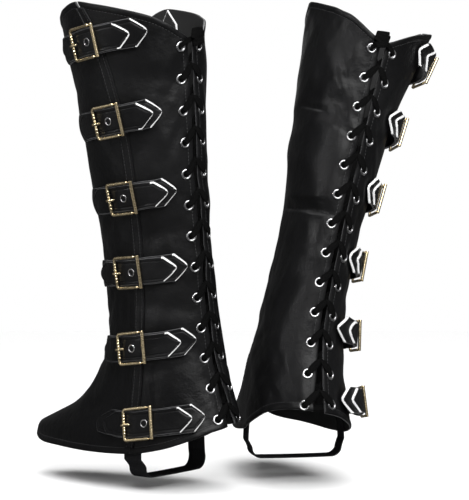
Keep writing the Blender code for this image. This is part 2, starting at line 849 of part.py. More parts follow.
def make_buckle(cover, number, mesh, material):
    """The flat frame, tangent to the straps under it and clear of their highest point."""
    size = dict(zip(STRAP_COLUMNS, STRAPS[number - 1]))
    height = size["height"] * MM
    ring = Ring(cover, height)
    middle_reach = ring.reach_of_angle(size["angle"])
    half = BUCKLE_LENGTH / 2
    slope = size["rise"] / size["under_rear"]

    def over_cloth(reach, side=0, half_wide=BUCKLE_WIDTH / 2, lift=0.0):
        place = ring.place(middle_reach + reach)
        level = height - reach * slope
        up = side * true_to_slope(cover, place, level, half_wide)
        lift += lift_over_placket(middle_reach + reach) + bow(cover, number, reach)
        return ring_point(cover, place, level + up, lift)

    along = (over_cloth(-half) - over_cloth(half)).normalized()
    up = over_cloth(0.0, 1) - over_cloth(0.0, -1)
    up = (up - along * up.dot(along)).normalized()
    out = along.cross(up)
    flipped = out.dot(cover.outward) < 0
    if flipped:
        out = -out
    under_top = SIT + UNDER_STRAP["thickness"] * MM
    tongue_top = under_top + SEAM + TONGUE["thickness"] * MM
    needed = []
    for sample in range(SEAT_SAMPLES + 1):
        reach = half * (2 * sample / SEAT_SAMPLES - 1)
        for side in (-1, 0, 1):
            edge = over_cloth(reach, side, UNDER_STRAP["half_width"] * MM, under_top)
            needed.append(edge.dot(out) + BUCKLE_BAR / 2)
            top = over_cloth(reach, side, TONGUE["half_width"] * MM, tongue_top).dot(out)
            crossed_by_bar = abs(reach) > half - 1.5 * BUCKLE_BAR
            needed.append(top + BUCKLE_BAR / 2 if crossed_by_bar else top - PRONG_CLEARS)
    middle = (over_cloth(-half) + over_cloth(half)) / 2
    middle += out * (max(needed) + SEAM - middle.dot(out))
    obj = bpy.data.objects.new(f"{cover.name}_buckle_{number}", mesh.copy())
    if flipped:
        obj.data.flip_normals()
    for vert in obj.data.vertices:
        x, y, z = vert.co
        vert.co = middle + along * x + up * y + out * z
    obj.data.materials.clear()
    obj.data.materials.append(material)
    bpy.context.scene.collection.objects.link(obj)
    return obj


def make_stirrup(cover, material):
    """Elastic strap from inside the hem, under the arch of the foot, and up the other side."""
    inside = WALL + STIRRUP_THICKNESS / 2 + STIRRUP_CLEAR

    def wall_point(angle, height):
        return cover.point(angle, height, -inside)

    outer_top = wall_point(STIRRUP_ANGLE, STIRRUP_INSIDE_TO)
    outer_low = wall_point(STIRRUP_ANGLE, STIRRUP_HEM_LEVEL)
    inner_top = wall_point(-STIRRUP_ANGLE, STIRRUP_INSIDE_TO)
    inner_low = wall_point(-STIRRUP_ANGLE, STIRRUP_HEM_LEVEL)
    bottom, _ = cover.axis_point(STIRRUP_BOTTOM)
    half = (outer_low - inner_low).length / 2 - STIRRUP_NARROWS
    corner = []
    for k in range(4):
        turn = math.pi / 2 * k / 3
        across = half - STIRRUP_CORNER + STIRRUP_CORNER * math.cos(turn)
        corner.append((across, STIRRUP_CORNER * (1 - math.sin(turn))))
    route = [outer_top, outer_low]
    route += [bottom + cover.outward * across + Vector((0, 0, up)) for across, up in corner]
    route += [bottom - cover.outward * across + Vector((0, 0, up)) for across, up in corner[::-1]]
    route += [inner_low, inner_top]
    frames = []
    for k, middle in enumerate(route):
        before = route[max(k - 1, 0)]
        after = route[min(k + 1, len(route) - 1)]
        along = (after - before).normalized()
        thick = along.cross(cover.toeward).normalized()
        frames.append((middle, cover.toeward * (STIRRUP_WIDTH / 2), thick * (STIRRUP_THICKNESS / 2)))
    return sweep(f"{cover.name}_stirrup", frames, material)


def make_cover(name, materials, buckle):
    cover = Cover(name)
    leather = materials["leather"]
    last = OUTER_COLUMNS + FRONT_COLUMNS
    outer = make_panel(cover, "outer_panel", 0, OUTER_COLUMNS, leather)
    front = make_panel(cover, "front_panel", OUTER_COLUMNS, last, leather)
    combine(outer, make_hole_cutter(cover, 1, "outer_holes", leather), "DIFFERENCE")
    combine(front, make_hole_cutter(cover, -1, "inner_holes", leather), "DIFFERENCE")
    make_placket(cover, leather)
    make_lace(cover, materials["lace"])
    make_stirrup(cover, materials["lace"])
    under = SIT
    over = SIT + UNDER_STRAP["thickness"] * MM + SEAM
    for number in range(1, len(STRAPS) + 1):
        make_strap(cover, number, UNDER_STRAP, f"under_strap_{number}", under, leather)
        make_strap(cover, number, TONGUE, f"tongue_{number}", over, leather)
        make_buckle(cover, number, buckle, materials["brass"])


def main():
    for obj in list(bpy.data.objects):
        bpy.data.objects.remove(obj)
    materials = {
        "leather": new_material("black_leather", (0.012, 0.012, 0.013), 0.45),
        "lace": new_material("black_lace", (0.008, 0.008, 0.008), 0.85),
        "brass": new_material("pale_brass", (0.72, 0.56, 0.33), 0.3, 1.0),
    }
    form = buckle_mesh(materials["brass"])
    graph = bpy.context.evaluated_depsgraph_get()
    buckle = bpy.data.meshes.new_from_object(form.evaluated_get(graph))
    for name in COVERS:
        make_cover(name, materials, buckle)


main()
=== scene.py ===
"""Looks of a pair of tall boot covers: black faux leather, laced up the back and buckled.

The pieces are worked out in the way that the solids are: a place on a cover is an angle round
the leg (0 calf, 90 outer side, 180 shin), a height along its axis and a lift out from the
cloth's outer face. Tables give angles in degrees and lengths in mm.
"""

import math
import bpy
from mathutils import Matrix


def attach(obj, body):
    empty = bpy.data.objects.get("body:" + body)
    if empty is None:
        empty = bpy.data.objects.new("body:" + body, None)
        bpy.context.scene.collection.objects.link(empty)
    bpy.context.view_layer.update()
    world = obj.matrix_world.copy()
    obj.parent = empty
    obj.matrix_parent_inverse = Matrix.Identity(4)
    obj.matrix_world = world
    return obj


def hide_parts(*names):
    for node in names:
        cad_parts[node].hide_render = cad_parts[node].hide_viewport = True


bl_info = {
    "name": "Boot covers",
    "version": (1, 0, 0),
    "blender": (4, 5, 0),
    "location": "3D View > Sidebar > Boot covers",
    "description": "Builds a pair of laced and buckled boot covers around their solids",
    "category": "Object",
}

import bpy
import numpy as np
from bpy.props import FloatProperty, FloatVectorProperty, PointerProperty
from mathutils import Vector

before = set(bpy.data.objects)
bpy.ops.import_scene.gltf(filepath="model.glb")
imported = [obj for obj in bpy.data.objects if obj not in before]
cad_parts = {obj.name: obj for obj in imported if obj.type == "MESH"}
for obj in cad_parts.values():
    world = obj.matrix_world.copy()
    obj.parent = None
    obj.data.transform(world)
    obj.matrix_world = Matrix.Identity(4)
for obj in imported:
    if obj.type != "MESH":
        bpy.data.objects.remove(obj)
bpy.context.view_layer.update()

MM = 0.001
BODY = "root"
EAST, NORTH, UP = np.eye(3)

# The floor is this far under the frame's middle.
FLOOR_BELOW = 130 * MM

# How each cover stands and bends, and how far each strap row stands off its cloth, from the
# hem up.
COVERS = {
    "left": dict(
        side=-1,
        x=-58.5,
        y=-14.0,
        over_ground=26.0,
        heading=54.0,
        lean=9.3,
        bend_low=0.0,
        bend_high=170.0,
        flare=4.0,
        inner_pull=0.0,
        bows=(3.0, 3.0, 3.0, 3.0, 3.0, 3.0),
    ),
    "right": dict(
        side=1,
        x=61.0,
        y=14.0,
        over_ground=37.5,
        heading=11.5,
        lean=12.0,
        bend_low=20.0,
        bend_high=150.0,
        flare=19.0,
        inner_pull=4.0,
        bows=(11.0, 9.0, 5.0, 4.0, 6.0, 7.0),
    ),
}
# A cover's flare, at the top of its outer side, grows between these heights.
FLARE_FROM = 318.0
FLARE_TO = 424.0

# The leg's cross section: reach back and front of the axis, and half the width, in mm.
SECTION_COLUMNS = ("height", "back", "front", "half_width")
SECTIONS = (
    (-20, 90, 165, 52),
    (0, 88, 165, 51),
    (14, 84, 165, 50),
    (26, 80.5, 162, 49),
    (36, 77, 140, 48),
    (50, 73, 109, 46.5),
    (75, 66, 81, 44),
    (100, 61, 67, 41.5),
    (130, 59, 60, 39),
    (170, 58.5, 58.5, 36),
    (220, 59.5, 59.5, 37.5),
    (280, 62, 62, 43),
    (340, 66, 66, 48.5),
    (400, 72, 72, 52),
    (450, 80, 80, 55),
)

# The hem and the top edge all round, by angle.
EDGE_COLUMNS = ("angle", "height")
HEM = (
    (0, 36),
    (30, 30),
    (50, 22),
    (70, 14),
    (92, 8),
    (110, 6.5),
    (132, 8),
    (150, 9),
    (162, 12),
    (171, 17),
    (180, 27),
    (189, 17),
    (198, 12),
    (210, 9),
    (230, 8.5),
    (252, 9),
    (270, 14),
    (290, 25),
    (310, 34),
    (335, 37.5),
    (360, 36),
)
TOP = (
    (0, 377),
    (9, 381),
    (22, 389),
    (42, 401),
    (66, 411),
    (88, 419),
    (104, 424),
    (120, 422),
    (150, 414),
    (180, 411),
)
# The top edge over the leg's inner side, by its angle from the calf's middle.
INNER_TOP = (
    (0, 381),
    (10, 386),
    (20, 392.5),
    (30, 398.5),
    (40, 402.5),
    (50, 406.5),
    (60, 410),
    (70, 413.5),
    (80, 417),
    (91, 420),
    (100, 418),
    (110, 412.5),
    (125, 409),
    (150, 410),
    (180, 411),
)
# A cover's inner pull raises that edge up to this angle, and fades over this much.
PULL_ENDS_AT = 170
PULL_ENDS_OVER = 70

WALL = 1.8 * MM
SEAM = 0.3 * MM
SIT = 0.4 * MM

# The lacing by height: the gap's middle, half the eyelets' spacing and half the gap's width.
LACING_COLUMNS = ("height", "angle", "half_spacing", "half_gap")
LACING = (
    (0, 3.0, 15.0, 6.6),
    (41, 4.5, 13.6, 5.2),
    (69, 7.0, 11.6, 3.2),
    (97, 8.0, 9.8, 2.3),
    (150, 8.0, 9.9, 2.3),
    (235, 8.0, 10.3, 2.4),
    (400, 8.0, 11.0, 2.8),
)
EYELETS = 13
EYELET_PITCH = 27.8 * MM
FIRST_EYELET = 41 * MM

# Where the placket runs, and how far it lifts what lies over it.
PLACKET_COLUMNS = ("height", "angle")
PLACKET = (
    (0, 92),
    (75, 89),
    (143, 86),
    (202, 82),
    (267, 79),
    (300, 79),
    (337, 83),
    (368, 87),
    (400, 94),
    (425, 103),
)
PLACKET_HALF_WIDTH = 5.5 * MM
PLACKET_THICKNESS = 1.1 * MM
# A strap over the placket is lifted over its thickness, and comes down beside it.
LIFT_FULL_WITHIN = PLACKET_HALF_WIDTH + 2.2 * MM
LIFT_ENDS_AT = PLACKET_HALF_WIDTH + 12 * MM
# The seam under the placket opens into a small notch at the top edge.
NOTCH_HALF_WIDTH = 1.2 * MM
NOTCH_STARTS = 405 * MM
NOTCH_OPENS_OVER = 18 * MM

# The strap rows, from the hem up: height and angle of the buckle's middle, how far the rear
# tips reach past it, how much higher the first sits, and how far behind the buckle's middle
# the ring in its window is set.
STRAP_COLUMNS = ("height", "angle", "under_rear", "tongue_rear", "rise", "ring_behind")
STRAPS = (
    (36.5, 82.5, 60.0, 48.5, 8.5, 5.0),
    (108.5, 89.5, 57.0, 44.0, 6.5, 0.5),
    (180.0, 89.0, 52.5, 43.5, 2.5, 3.5),
    (248.0, 85.0, 47.5, 40.0, 2.5, 2.0),
    (317.0, 86.0, 47.0, 39.0, 3.5, 0.5),
    (387.0, 94.5, 56.0, 41.5, 3.5, 3.0),
)
UNDER_STRAP = dict(rear="under_rear", half_width=12.5, thickness=2.0, front=57.0, point=11.0)
TONGUE = dict(rear="tongue_rear", half_width=11.5, thickness=1.7, front=44.0, point=11.0)
# How much each row's front end is raised, from the hem up, in mm.
FRONT_RISES = (10.0, 4.0, 0.0, 0.0, 0.0, 0.0)
FRONT_RISE_POWER = 1.5
# A strap stands off the cloth by its row's bow between these two places in front of the
# buckle, in mm, and by this share of it at the rear tip.
BOW_FULL_FROM = -24.0
BOW_FULL_TO = 17.0
BOW_AT_TIP = 0.25
TIP_HALF_WIDTH = 0.6 * MM
TIP_ROUNDNESS = 0.22
TIP_BEVEL = 1.4 * MM
# The pale band at a strap's rear tip is partly the cut edge's own colour and partly a painted highlight
# where the tip catches the light.
TIP_PALE_SHARE = 1.02
# The lower edge's bevel is narrower, and so is its pale band: that is painted shade, as the lower edge
# catches less light.
LOWER_BEVEL_SHARE = 0.7
BEVEL_DEPTH_SHARE = 0.8
# Width of a grey line painted along the edges of a strap's outer face: a painted highlight where the
# edge catches the light.
EDGE_HIGHLIGHT_LINE = 0.6 * MM
# The pressed line along a strap: distance in from the edge and half width in mm, and depth.
GROOVE_IN = 3.2
GROOVE_HALF_WIDTH = 0.4
GROOVE_DEPTH = 0.35 * MM
STRAP_CROWN = 0.15 * MM
STRAP_EDGE_FALL = 0.28 * MM
STRAP_EDGE_WITHIN = 0.45
# Stations along a strap's tip, as shares of it, and the step between the others.
TIP_SHARES = np.array((0, 0.02, 0.06, 0.12, 0.2, 0.3, 0.42, 0.55, 0.7, 0.85))
STRAP_STEP = 1.3 * MM
# Columns of a strap: distances in from each edge in mm, where it is at least this half wide,
# then shares of what is left between them.
STRAP_INSETS = np.array((0.0, 0.15, 0.45, 0.9, 1.5, 2.6, 3.0, 3.4, 3.8, 4.6))
STRAP_INSETS_FIT = 5.5 * MM
STRAP_MIDDLES = np.array((0.66, 0.33, 0.0, -0.33, -0.66))
STRAP_MIDDLE_INSET = 9.0

BUCKLE_LENGTH = 31.5 * MM
BUCKLE_WIDTH = 30.2 * MM
BUCKLE_CORNER = 3.0 * MM
ARM_STOPS_SHORT = 3.0 * MM
# Raised bands on the buckle's front bar, by their places either side of its middle, in mm.
BUCKLE_BANDS = (2.6, 5.2, 7.8)
BUCKLE_BAND_HALF_WIDTH = 0.7
BUCKLE_BAND_SWELL = 1.22
# A buckle's bars clear the straps by this, and in its window the tongue may rise this far above
# its middle. It is tried at some places along it, whose ends are this many bars long.
BUCKLE_CLEAR = 0.15 * MM
TONGUE_UP_IN_WINDOW = 0.3 * MM
BUCKLE_PLACES = 17
BUCKLE_END_BARS = 1.5
# Edges that turn by more degrees than this are shaded crisp.
STRAP_CRISP = 50
BUCKLE_CRISP = 40
EYELET_CRISP = 60

STIRRUP_WIDTH = 20 * MM
STIRRUP_THICKNESS = 1.5 * MM
STIRRUP_ANGLE = 91.0
STIRRUP_INSIDE_TO = 30 * MM
STIRRUP_BOTTOM = -13 * MM
STIRRUP_CORNER = 10 * MM
STIRRUP_CLEAR = 0.85 * MM
STIRRUP_NARROWS = 3 * MM
STIRRUP_HEM_LEVEL = 4 * MM
STIRRUP_RIBS = 22
STIRRUP_RELIEF = 0.10 * MM
STIRRUP_EDGE_FALL = 0.45 * MM

# Folds much as the solids have them, then finer creases that only show here. Each is given by
# its middle in degrees and mm, its half length round the leg, its half width along it and its
# depth in mm, and its slope as rise over run while the angle grows. Its depth starts to fade at
# a share of its half length. A crease falls off more slowly above its line than below it.
FOLD_LEG_RADIUS = 52.0
FOLD_FADES_FROM = 0.35
CREASE_UPPER_SPREAD = 2.3
FOLD_COLUMNS = ("cover", "angle", "height", "length", "width", "depth", "slope")
FOLDS = (
    ("right", -58, 223, 46, 9, 1.6, -0.04),
    ("right", -40, 318, 34, 12, 1.6, -0.25),
    ("right", -70, 268, 40, 13, -1.8, -0.35),
    ("right", -95, 110, 40, 13, 2.2, 0.35),
    ("right", -60, 150, 30, 12, 1.4, -0.30),
    ("right", 55, 214, 26, 9, 1.3, 0.15),
    ("right", 60, 146, 26, 9, 1.5, -0.10),
    ("right", 165, 120, 34, 13, 2.6, 0.10),
    ("right", 175, 235, 34, 14, 1.8, -0.15),
    ("left", 50, 351, 26, 9, 1.6, 0.20),
    ("left", 52, 214, 24, 9, 1.5, -0.15),
    ("left", 56, 146, 26, 9, 1.8, 0.15),
    ("left", 165, 112, 34, 13, 2.4, 0.10),
    ("left", -60, 228, 44, 12, 2.6, -0.40),
    ("left", -95, 120, 40, 13, 2.2, 0.30),
    ("left", 178, 190, 34, 14, 2.0, 0.15),
    ("left", -120, 300, 36, 13, 1.6, -0.25),
)
CREASES = (
    ("right", -52, 218.5, 38, 2.3, 2.6, -0.06),
    ("right", -57, 230, 36, 1.8, -0.7, 0.0),
    ("right", -60, 315.5, 20, 1.9, 1.6, -0.21),
    ("right", -45, 322, 22, 2.6, 0.8, -0.10),
    ("right", -30, 300, 26, 3.0, 0.6, -0.30),
    ("right", -25, 345, 22, 3.4, 0.5, -0.22),
    ("right", -75, 180, 26, 3.2, 0.7, -0.35),
    ("right", -85, 92, 30, 3.4, 0.9, 0.40),
    ("right", -50, 66, 24, 3.0, 0.6, 0.35),
    ("right", 45, 190, 18, 3.0, 0.5, 0.25),
    ("right", 50, 282, 18, 3.0, 0.4, -0.20),
    ("right", 150, 96, 26, 3.6, 1.0, 0.15),
    ("right", 172, 142, 26, 3.4, 0.9, -0.12),
    ("right", 205, 100, 26, 3.6, 1.0, -0.15),
    ("left", 45, 336, 18, 3.0, 0.6, 0.30),
    ("left", 42, 262, 18, 3.0, 0.4, -0.20),
    ("left", 48, 182, 18, 3.2, 0.5, 0.20),
    ("left", 62, 88, 22, 3.2, 0.6, -0.25),
    ("left", 150, 92, 26, 3.6, 1.0, 0.15),
    ("left", 170, 135, 26, 3.4, 0.9, -0.12),
    ("left", -38, 214, 30, 2.8, 0.8, -0.40),
    ("left", -80, 96, 30, 3.4, 0.9, 0.38),
    ("left", 205, 96, 26, 3.6, 1.0, -0.15),
)
# Soft upright pleats beside the placket: angle from the placket, height of the middle, half
# width round the leg, half height and depth, in degrees and mm.
PLEATS = (
    (-16, 62, 3.0, 34, 0.7),
    (13, 66, 2.6, 34, 0.8),
    (20, 60, 2.4, 30, 0.7),
    (27, 70, 3.0, 30, 0.6),
    (12, 142, 2.4, 26, 0.5),
    (-14, 214, 2.6, 24, 0.4),
)
PLEAT_FADES_FROM = 0.3

# Soft crumples all over: waves round the leg, waves in a metre of height, phase and depth in mm.
CRUMPLES = (
    (3, 9.0, 0.4, 0.55),
    (5, -12.0, 1.9, 0.50),
    (7, 15.0, 3.1, 0.40),
    (8, -21.0, 5.2, 0.34),
    (11, 24.0, 0.9, 0.26),
    (13, -17.0, 4.1, 0.20),
    (6, 33.0, 2.6, 0.20),
    (17, 29.0, 5.9, 0.12),
    (19, -41.0, 1.2, 0.10),
)
CRUMPLE_DEPTH = 0.62
# How far the crumples swing round the leg and up it, and how fast, in radians a metre.
CRUMPLE_TURN = 0.35
CRUMPLE_TURN_RATE = 17
CRUMPLE_RISE = 10 * MM
CRUMPLE_RISE_RATE = 38
CRUMPLE_FREE_OF_SEAM = 14.0

# Steps in from an edge where a panel's grid is fine, and how many even steps lie between.
EDGE_STEPS = np.array((0, 0.3, 0.8, 1.5, 2.4, 3.4, 4.3, 5.0, 5.7, 6.8)) * MM
EVEN_ROWS = 190
EVEN_COLUMNS = {"outer_panel": 40, "front_panel": 118}
# Rows are closer together round these heights, with how far each reaches, at one angle.
CROWDED_AT = 303.0
CROWDED_ROWS = ((223 * MM, 14 * MM), (314 * MM, 9 * MM))
CROWDING = 2.2
# Angle and height depend on each other, so both are worked out in a few rounds.
ROUNDS = 5
MID_HEIGHT = 0.2

# The turned bands at the edges: widths in mm, and how much lower the lacing's bands are.
HEM_BAND = 5.0
LACING_BAND = 4.4
LACING_SWELL = 0.45
BAND_AT_EDGE = 0.55
BAND_SETTLES_OVER = 0.7
EDGE_RADIUS = 0.9 * MM
EDGE_DEPTH = 0.55 * MM
EYELET_CUT = 3.5 * MM

# A row of stitches: how far past a band in mm, how far it keeps from a panel's corners, its
# pitch in stitches' lengths, and how far it stands proud in threads' radii.
ROW_PAST_BAND = 0.9
ROW_KEEPS_UP = 7 * MM
ROW_KEEPS_ASIDE = 5 * MM
STITCH_PITCH = 1.28
STITCH_PROUD = 0.6
# One stitch: shares of its length, then its size and its dip in threads' radii.
STITCH_FORM = (
    (-0.5, 0.35, -1.3),
    (-0.36, 0.9, -0.4),
    (0.0, 1.0, 0.0),
    (0.36, 0.9, -0.4),
    (0.5, 0.35, -1.3),
)
# Half the placket's cross section: places out from its middle and lifts, in mm.
PLACKET_FORM = (
    (5.5, 0.45),
    (5.3, 0.85),
    (4.9, 1.1),
    (4.2, 1.15),
    (3.4, 1.05),
    (2.8, 0.75),
    (2.2, 0.68),
    (0, 0.66),
)
PLACKET_ROWS = 200
PLACKET_SIT = SIT * 0.4
PLACKET_ENDS_IN = 5.5 * MM
PLACKET_ROW_OUT = 3.1 * MM
PLACKET_ROW_LIFT = 0.85 * MM

# The facing strip inside the inner side's peak, which points up.
INNER_TAB = dict(angle=270.5, half_width=10.5 * MM, length=60.0 * MM, point=15.0 * MM)
INNER_TAB_THICKNESS = 1.3 * MM
INNER_TAB_BEVEL = 1.3 * MM
INNER_TAB_BELOW_TOP = 1.2 * MM
INNER_TAB_UNDER = -WALL - 0.2 * MM


def length_setting(name, description, default, digits=4):
    facts = dict(name=name, description=description, default=default)
    return FloatProperty(**facts, unit="LENGTH", precision=digits)


def colour_setting(name, description, default):
    facts = dict(name=name, description=description, default=default)
    return FloatVectorProperty(**facts, subtype="COLOR", min=0, max=1)


def power_setting(name, description, default):
    return FloatProperty(name=name, description=description, default=default, unit="POWER")


class ClothSettings(bpy.types.PropertyGroup):
    leather: colour_setting("Leather", "Colour of the faux leather", (0.0026, 0.0026, 0.0028))
    # The cut edge's pale colour is partly its own and partly a painted highlight at the strap tips.
    pale_edge_and_highlight: colour_setting("Cut edge", "Colour of the straps' pale cut ends", (0.64, 0.64, 0.64))
    roughness: FloatProperty(
        name="Roughness",
        description="How matt the faux leather is",
        default=0.36,
        min=0.05,
        max=1,
        subtype="FACTOR",
    )
    grain: length_setting("Grain", "Size of the pebbles in the leather's grain", 0.9 * MM)
    band_swell: length_setting("Band swell", "How far a turned band stands out", 0.8 * MM)
    stitch: length_setting("Stitch", "Length of one stitch", 2.4 * MM)
    thread: length_setting("Thread", "Diameter of the sewing thread", 0.5 * MM)


class HardwareSettings(bpy.types.PropertyGroup):
    brass: colour_setting("Brass", "Colour of the buckles' plating", (0.84, 0.69, 0.43))
    steel: colour_setting("Nickel", "Colour of the eyelets and of the straps' rings", (0.55, 0.55, 0.56))
    bar: length_setting("Bar", "Diameter of the buckle's bars", 2.6 * MM)
    roller: length_setting("Roller", "Diameter of the roller on the buckle's rear bar", 3.3 * MM)
    eyelet_outer: length_setting("Eyelet", "Outer diameter of a lacing eyelet", 9.6 * MM)
    eyelet_inner: length_setting("Eyelet's hole", "Inner diameter of a lacing eyelet", 5.6 * MM)
    ring_outer: length_setting("Strap ring", "Outer diameter of the ring set in each strap", 7.4 * MM)


class LaceSettings(bpy.types.PropertyGroup):
    colour: colour_setting("Lace", "Colour of the lace", (0.0012, 0.0012, 0.0012))
    elastic: colour_setting("Elastic", "Colour of the stirrup's elastic", (0.006, 0.006, 0.0065))
    thickness: length_setting("Thickness", "Thickness of the flat lace", 1.2 * MM)


class StageSettings(bpy.types.PropertyGroup):
    distance: length_setting("Camera distance", "From the camera to the middle of the view", 1.1, 2)
    raised: FloatProperty(
        name="Camera pitch",
        description="How far the camera looks up",
        default=math.radians(2.64),
        subtype="ANGLE",
    )
    floor: colour_setting("Floor", "Colour of the floor", (0.92, 0.92, 0.92))
    key: power_setting("Key light", "Power of the main light", 33.0)
    spot: power_setting("Spot", "Power of the soft spot", 380.0)
    fill: power_setting("Side light", "Power of a side light", 1.2)
    overhead: FloatProperty(name="Overhead light", description="Irradiance of the floor", default=3.35)
    sky: FloatProperty(name="Sky", description="Strength of the surroundings as reflected", default=0.09)


def column(rows, names, name):
    place = names.index(name)
    return np.array([row[place] for row in rows], float)


def curve_through(xs, ys, x):
    """Smooth values at x of the curve through the points, level outside its ends."""
    count = len(xs)
    x = np.clip(np.asarray(x, float), xs[0], xs[-1])
    k = np.arange(count)
    low, high = np.maximum(k - 1, 0), np.minimum(k + 1, count - 1)
    slope = (ys[high] - ys[low]) / (xs[high] - xs[low])
    i = np.clip(np.searchsorted(xs, x, side="right") - 1, 0, count - 2)
    width = xs[i + 1] - xs[i]
    t = (x - xs[i]) / width
    start = (1 + 2 * t) * (1 - t) ** 2 * ys[i] + t * (1 - t) ** 2 * width * slope[i]
    return start + t * t * (3 - 2 * t) * ys[i + 1] + t * t * (t - 1) * width * slope[i + 1]


def from_table(rows, names, value, key):
    return curve_through(column(rows, names, names[0]), column(rows, names, value), key)


def ease(t):
    t = np.clip(t, 0.0, 1.0)
    return t * t * (3 - 2 * t)


def unit(vectors):
    return vectors / np.linalg.norm(vectors, axis=-1, keepdims=True)


def distances_along(points):
    """How far along a line of points each one lies."""
    return np.concatenate(([0.0], np.cumsum(np.linalg.norm(np.diff(points, axis=0), axis=1))))


def degrees_past(angle, middle):
    """Turn from the middle to an angle, from -180 to 180."""
    return np.mod(angle - middle + 180, 360) - 180


def between(grid):
    """Values halfway between a grid's diagonal neighbours, one for each face."""
    return (grid[:-1, :-1] + grid[1:, 1:]) / 2


def hem_height(angle):
    return from_table(HEM, EDGE_COLUMNS, "height", np.mod(angle, 360)) * MM


def top_height(cover, angle):
    """Height of the top edge at an angle from 0 at the calf over the outer side to 360."""
    away = 360 - angle
    pulled = cover.inner_pull * ease((PULL_ENDS_AT - away) / PULL_ENDS_OVER)
    inner = from_table(INNER_TOP, EDGE_COLUMNS, "height", away) + pulled
    return np.where(angle <= 180, from_table(TOP, EDGE_COLUMNS, "height", angle), inner) * MM


def lacing_mm(value, height):
    return from_table(LACING, LACING_COLUMNS, value, height / MM) * MM


class Cover:
    """One leg's cover: turns angles, heights and lifts into points of the frame."""

    def __init__(self, name):
        place = COVERS[name]
        self.name = name
        self.side = place["side"]
        turn = math.radians(place["heading"])
        self.toeward = np.array((-math.sin(turn), math.cos(turn), 0))
        self.outward = np.array((math.cos(turn), math.sin(turn), 0)) * place["side"]
        self.lean = math.radians(place["lean"])
        self.bend = (place["bend_low"] * MM, place["bend_high"] * MM)
        self.flare = place["flare"]
        self.inner_pull = place["inner_pull"]
        self.bows = place["bows"]
        base = place["over_ground"] * MM - FLOOR_BELOW
        self.base = np.array((place["x"] * MM, place["y"] * MM, base))
        self.folds = [dict(zip(FOLD_COLUMNS, row)) for row in FOLDS if row[0] == name]
        self.creases = [dict(zip(FOLD_COLUMNS, row)) for row in CREASES if row[0] == name]
        self.axis_heights = np.arange(-40, 481) * MM
        middles = (self.axis_heights[1:] + self.axis_heights[:-1]) / 2
        tilts = self.tilt(middles)
        outwards = np.concatenate(([0.0], np.cumsum(np.sin(tilts) * MM)))
        upwards = np.concatenate(([0.0], np.cumsum(np.cos(tilts) * MM)))
        start = np.searchsorted(self.axis_heights, -MM / 2)
        self.axis_out = outwards - outwards[start]
        self.axis_up = upwards - upwards[start]

    def tilt(self, height):
        low, high = self.bend
        return self.lean * ease((height - low) / (high - low))

    def fold_depth(self, angle, height):
        depth = np.zeros(np.broadcast(angle, height).shape)
        up = height / MM
        for fold in self.folds + self.creases:
            above = CREASE_UPPER_SPREAD if fold in self.creases else 1.0
            round_leg = np.radians(degrees_past(angle, fold["angle"])) * FOLD_LEG_RADIUS
            run = np.abs(round_leg) / fold["length"]
            rise = (up - fold["height"] - fold["slope"] * round_leg) / fold["width"]
            rise = np.where(rise > 0, rise / above, rise)
            depth += fold["depth"] * np.exp(-rise * rise) * (1 - ease(run - FOLD_FADES_FROM))
        seam = self.placket_angle(height)
        for away, middle, wide, tall, deep in PLEATS:
            turn = degrees_past(angle - seam, away) / wide
            faded = 1 - ease(np.abs(up - middle) / tall - PLEAT_FADES_FROM)
            depth += deep * np.exp(-turn * turn) * faded
        return (depth + self.crumple(angle, height)) * MM

    def crumple(self, angle, height):
        """Depth of the soft crumples, in mm: none at the placket, where the seam holds it flat."""
        turn = np.radians(angle)
        swing = np.sin(2 * turn + CRUMPLE_TURN_RATE * height + self.outward[0])
        climb = np.sin(3 * turn + CRUMPLE_RISE_RATE * height + 2 * self.outward[1])
        warped = turn + CRUMPLE_TURN * swing
        raised = height + CRUMPLE_RISE * climb
        depth = np.zeros(np.broadcast(angle, height).shape)
        for waves, per_metre, phase, deep in CRUMPLES:
            depth += deep * np.sin(waves * warped + 2 * math.pi * per_metre * raised + phase * self.side)
        from_seam = degrees_past(angle, self.placket_angle(height)) / CRUMPLE_FREE_OF_SEAM
        return CRUMPLE_DEPTH * depth * (1 - np.exp(-from_seam * from_seam))

    def cloth(self, angle, height):
        """Points of the cloth's outer face."""
        turn = np.radians(angle)
        mm = height / MM
        back = from_table(SECTIONS, SECTION_COLUMNS, "back", mm)
        front = from_table(SECTIONS, SECTION_COLUMNS, "front", mm)
        depth = np.where(np.cos(turn) > 0, back, front) * MM
        half_width = from_table(SECTIONS, SECTION_COLUMNS, "half_width", mm) * MM
        tilt = self.tilt(height)
        reach = np.hypot(depth * np.cos(turn), half_width * np.sin(turn))
        inward = 1 - self.fold_depth(angle, height) / reach
        sideways = half_width * np.sin(turn) * inward
        behind = depth * np.cos(turn) * inward
        flare = self.flare * MM * ease((mm - FLARE_FROM) / (FLARE_TO - FLARE_FROM))
        flare = np.where(np.sin(turn) > 0, flare * np.sin(turn) ** 2, 0.0)
        out = np.interp(height, self.axis_heights, self.axis_out) + sideways * np.cos(tilt) + flare
        up = np.interp(height, self.axis_heights, self.axis_up) - sideways * np.sin(tilt)
        flat = self.base + out[..., None] * self.outward - behind[..., None] * self.toeward
        return flat + up[..., None] * UP

    def one_degree(self, angle, height):
        """The way that one degree round the leg takes."""
        return self.cloth(angle + 0.5, height) - self.cloth(angle - 0.5, height)

    def directions(self, angle, height):
        """Points of the cloth, and unit vectors out of it, round the leg and up."""
        angle, height = np.broadcast_arrays(np.asarray(angle, float), np.asarray(height, float))
        middle = self.cloth(angle, height)
        around = unit(self.one_degree(angle, height))
        along = self.cloth(angle, height + MM) - self.cloth(angle, height - MM)
        normal = unit(np.cross(around, along))
        turn = np.radians(angle)[..., None]
        rough = self.outward * np.sin(turn) - self.toeward * np.cos(turn)
        sign = np.sign((normal * rough).sum(-1, keepdims=True))
        return middle, normal * sign, around, unit(along)

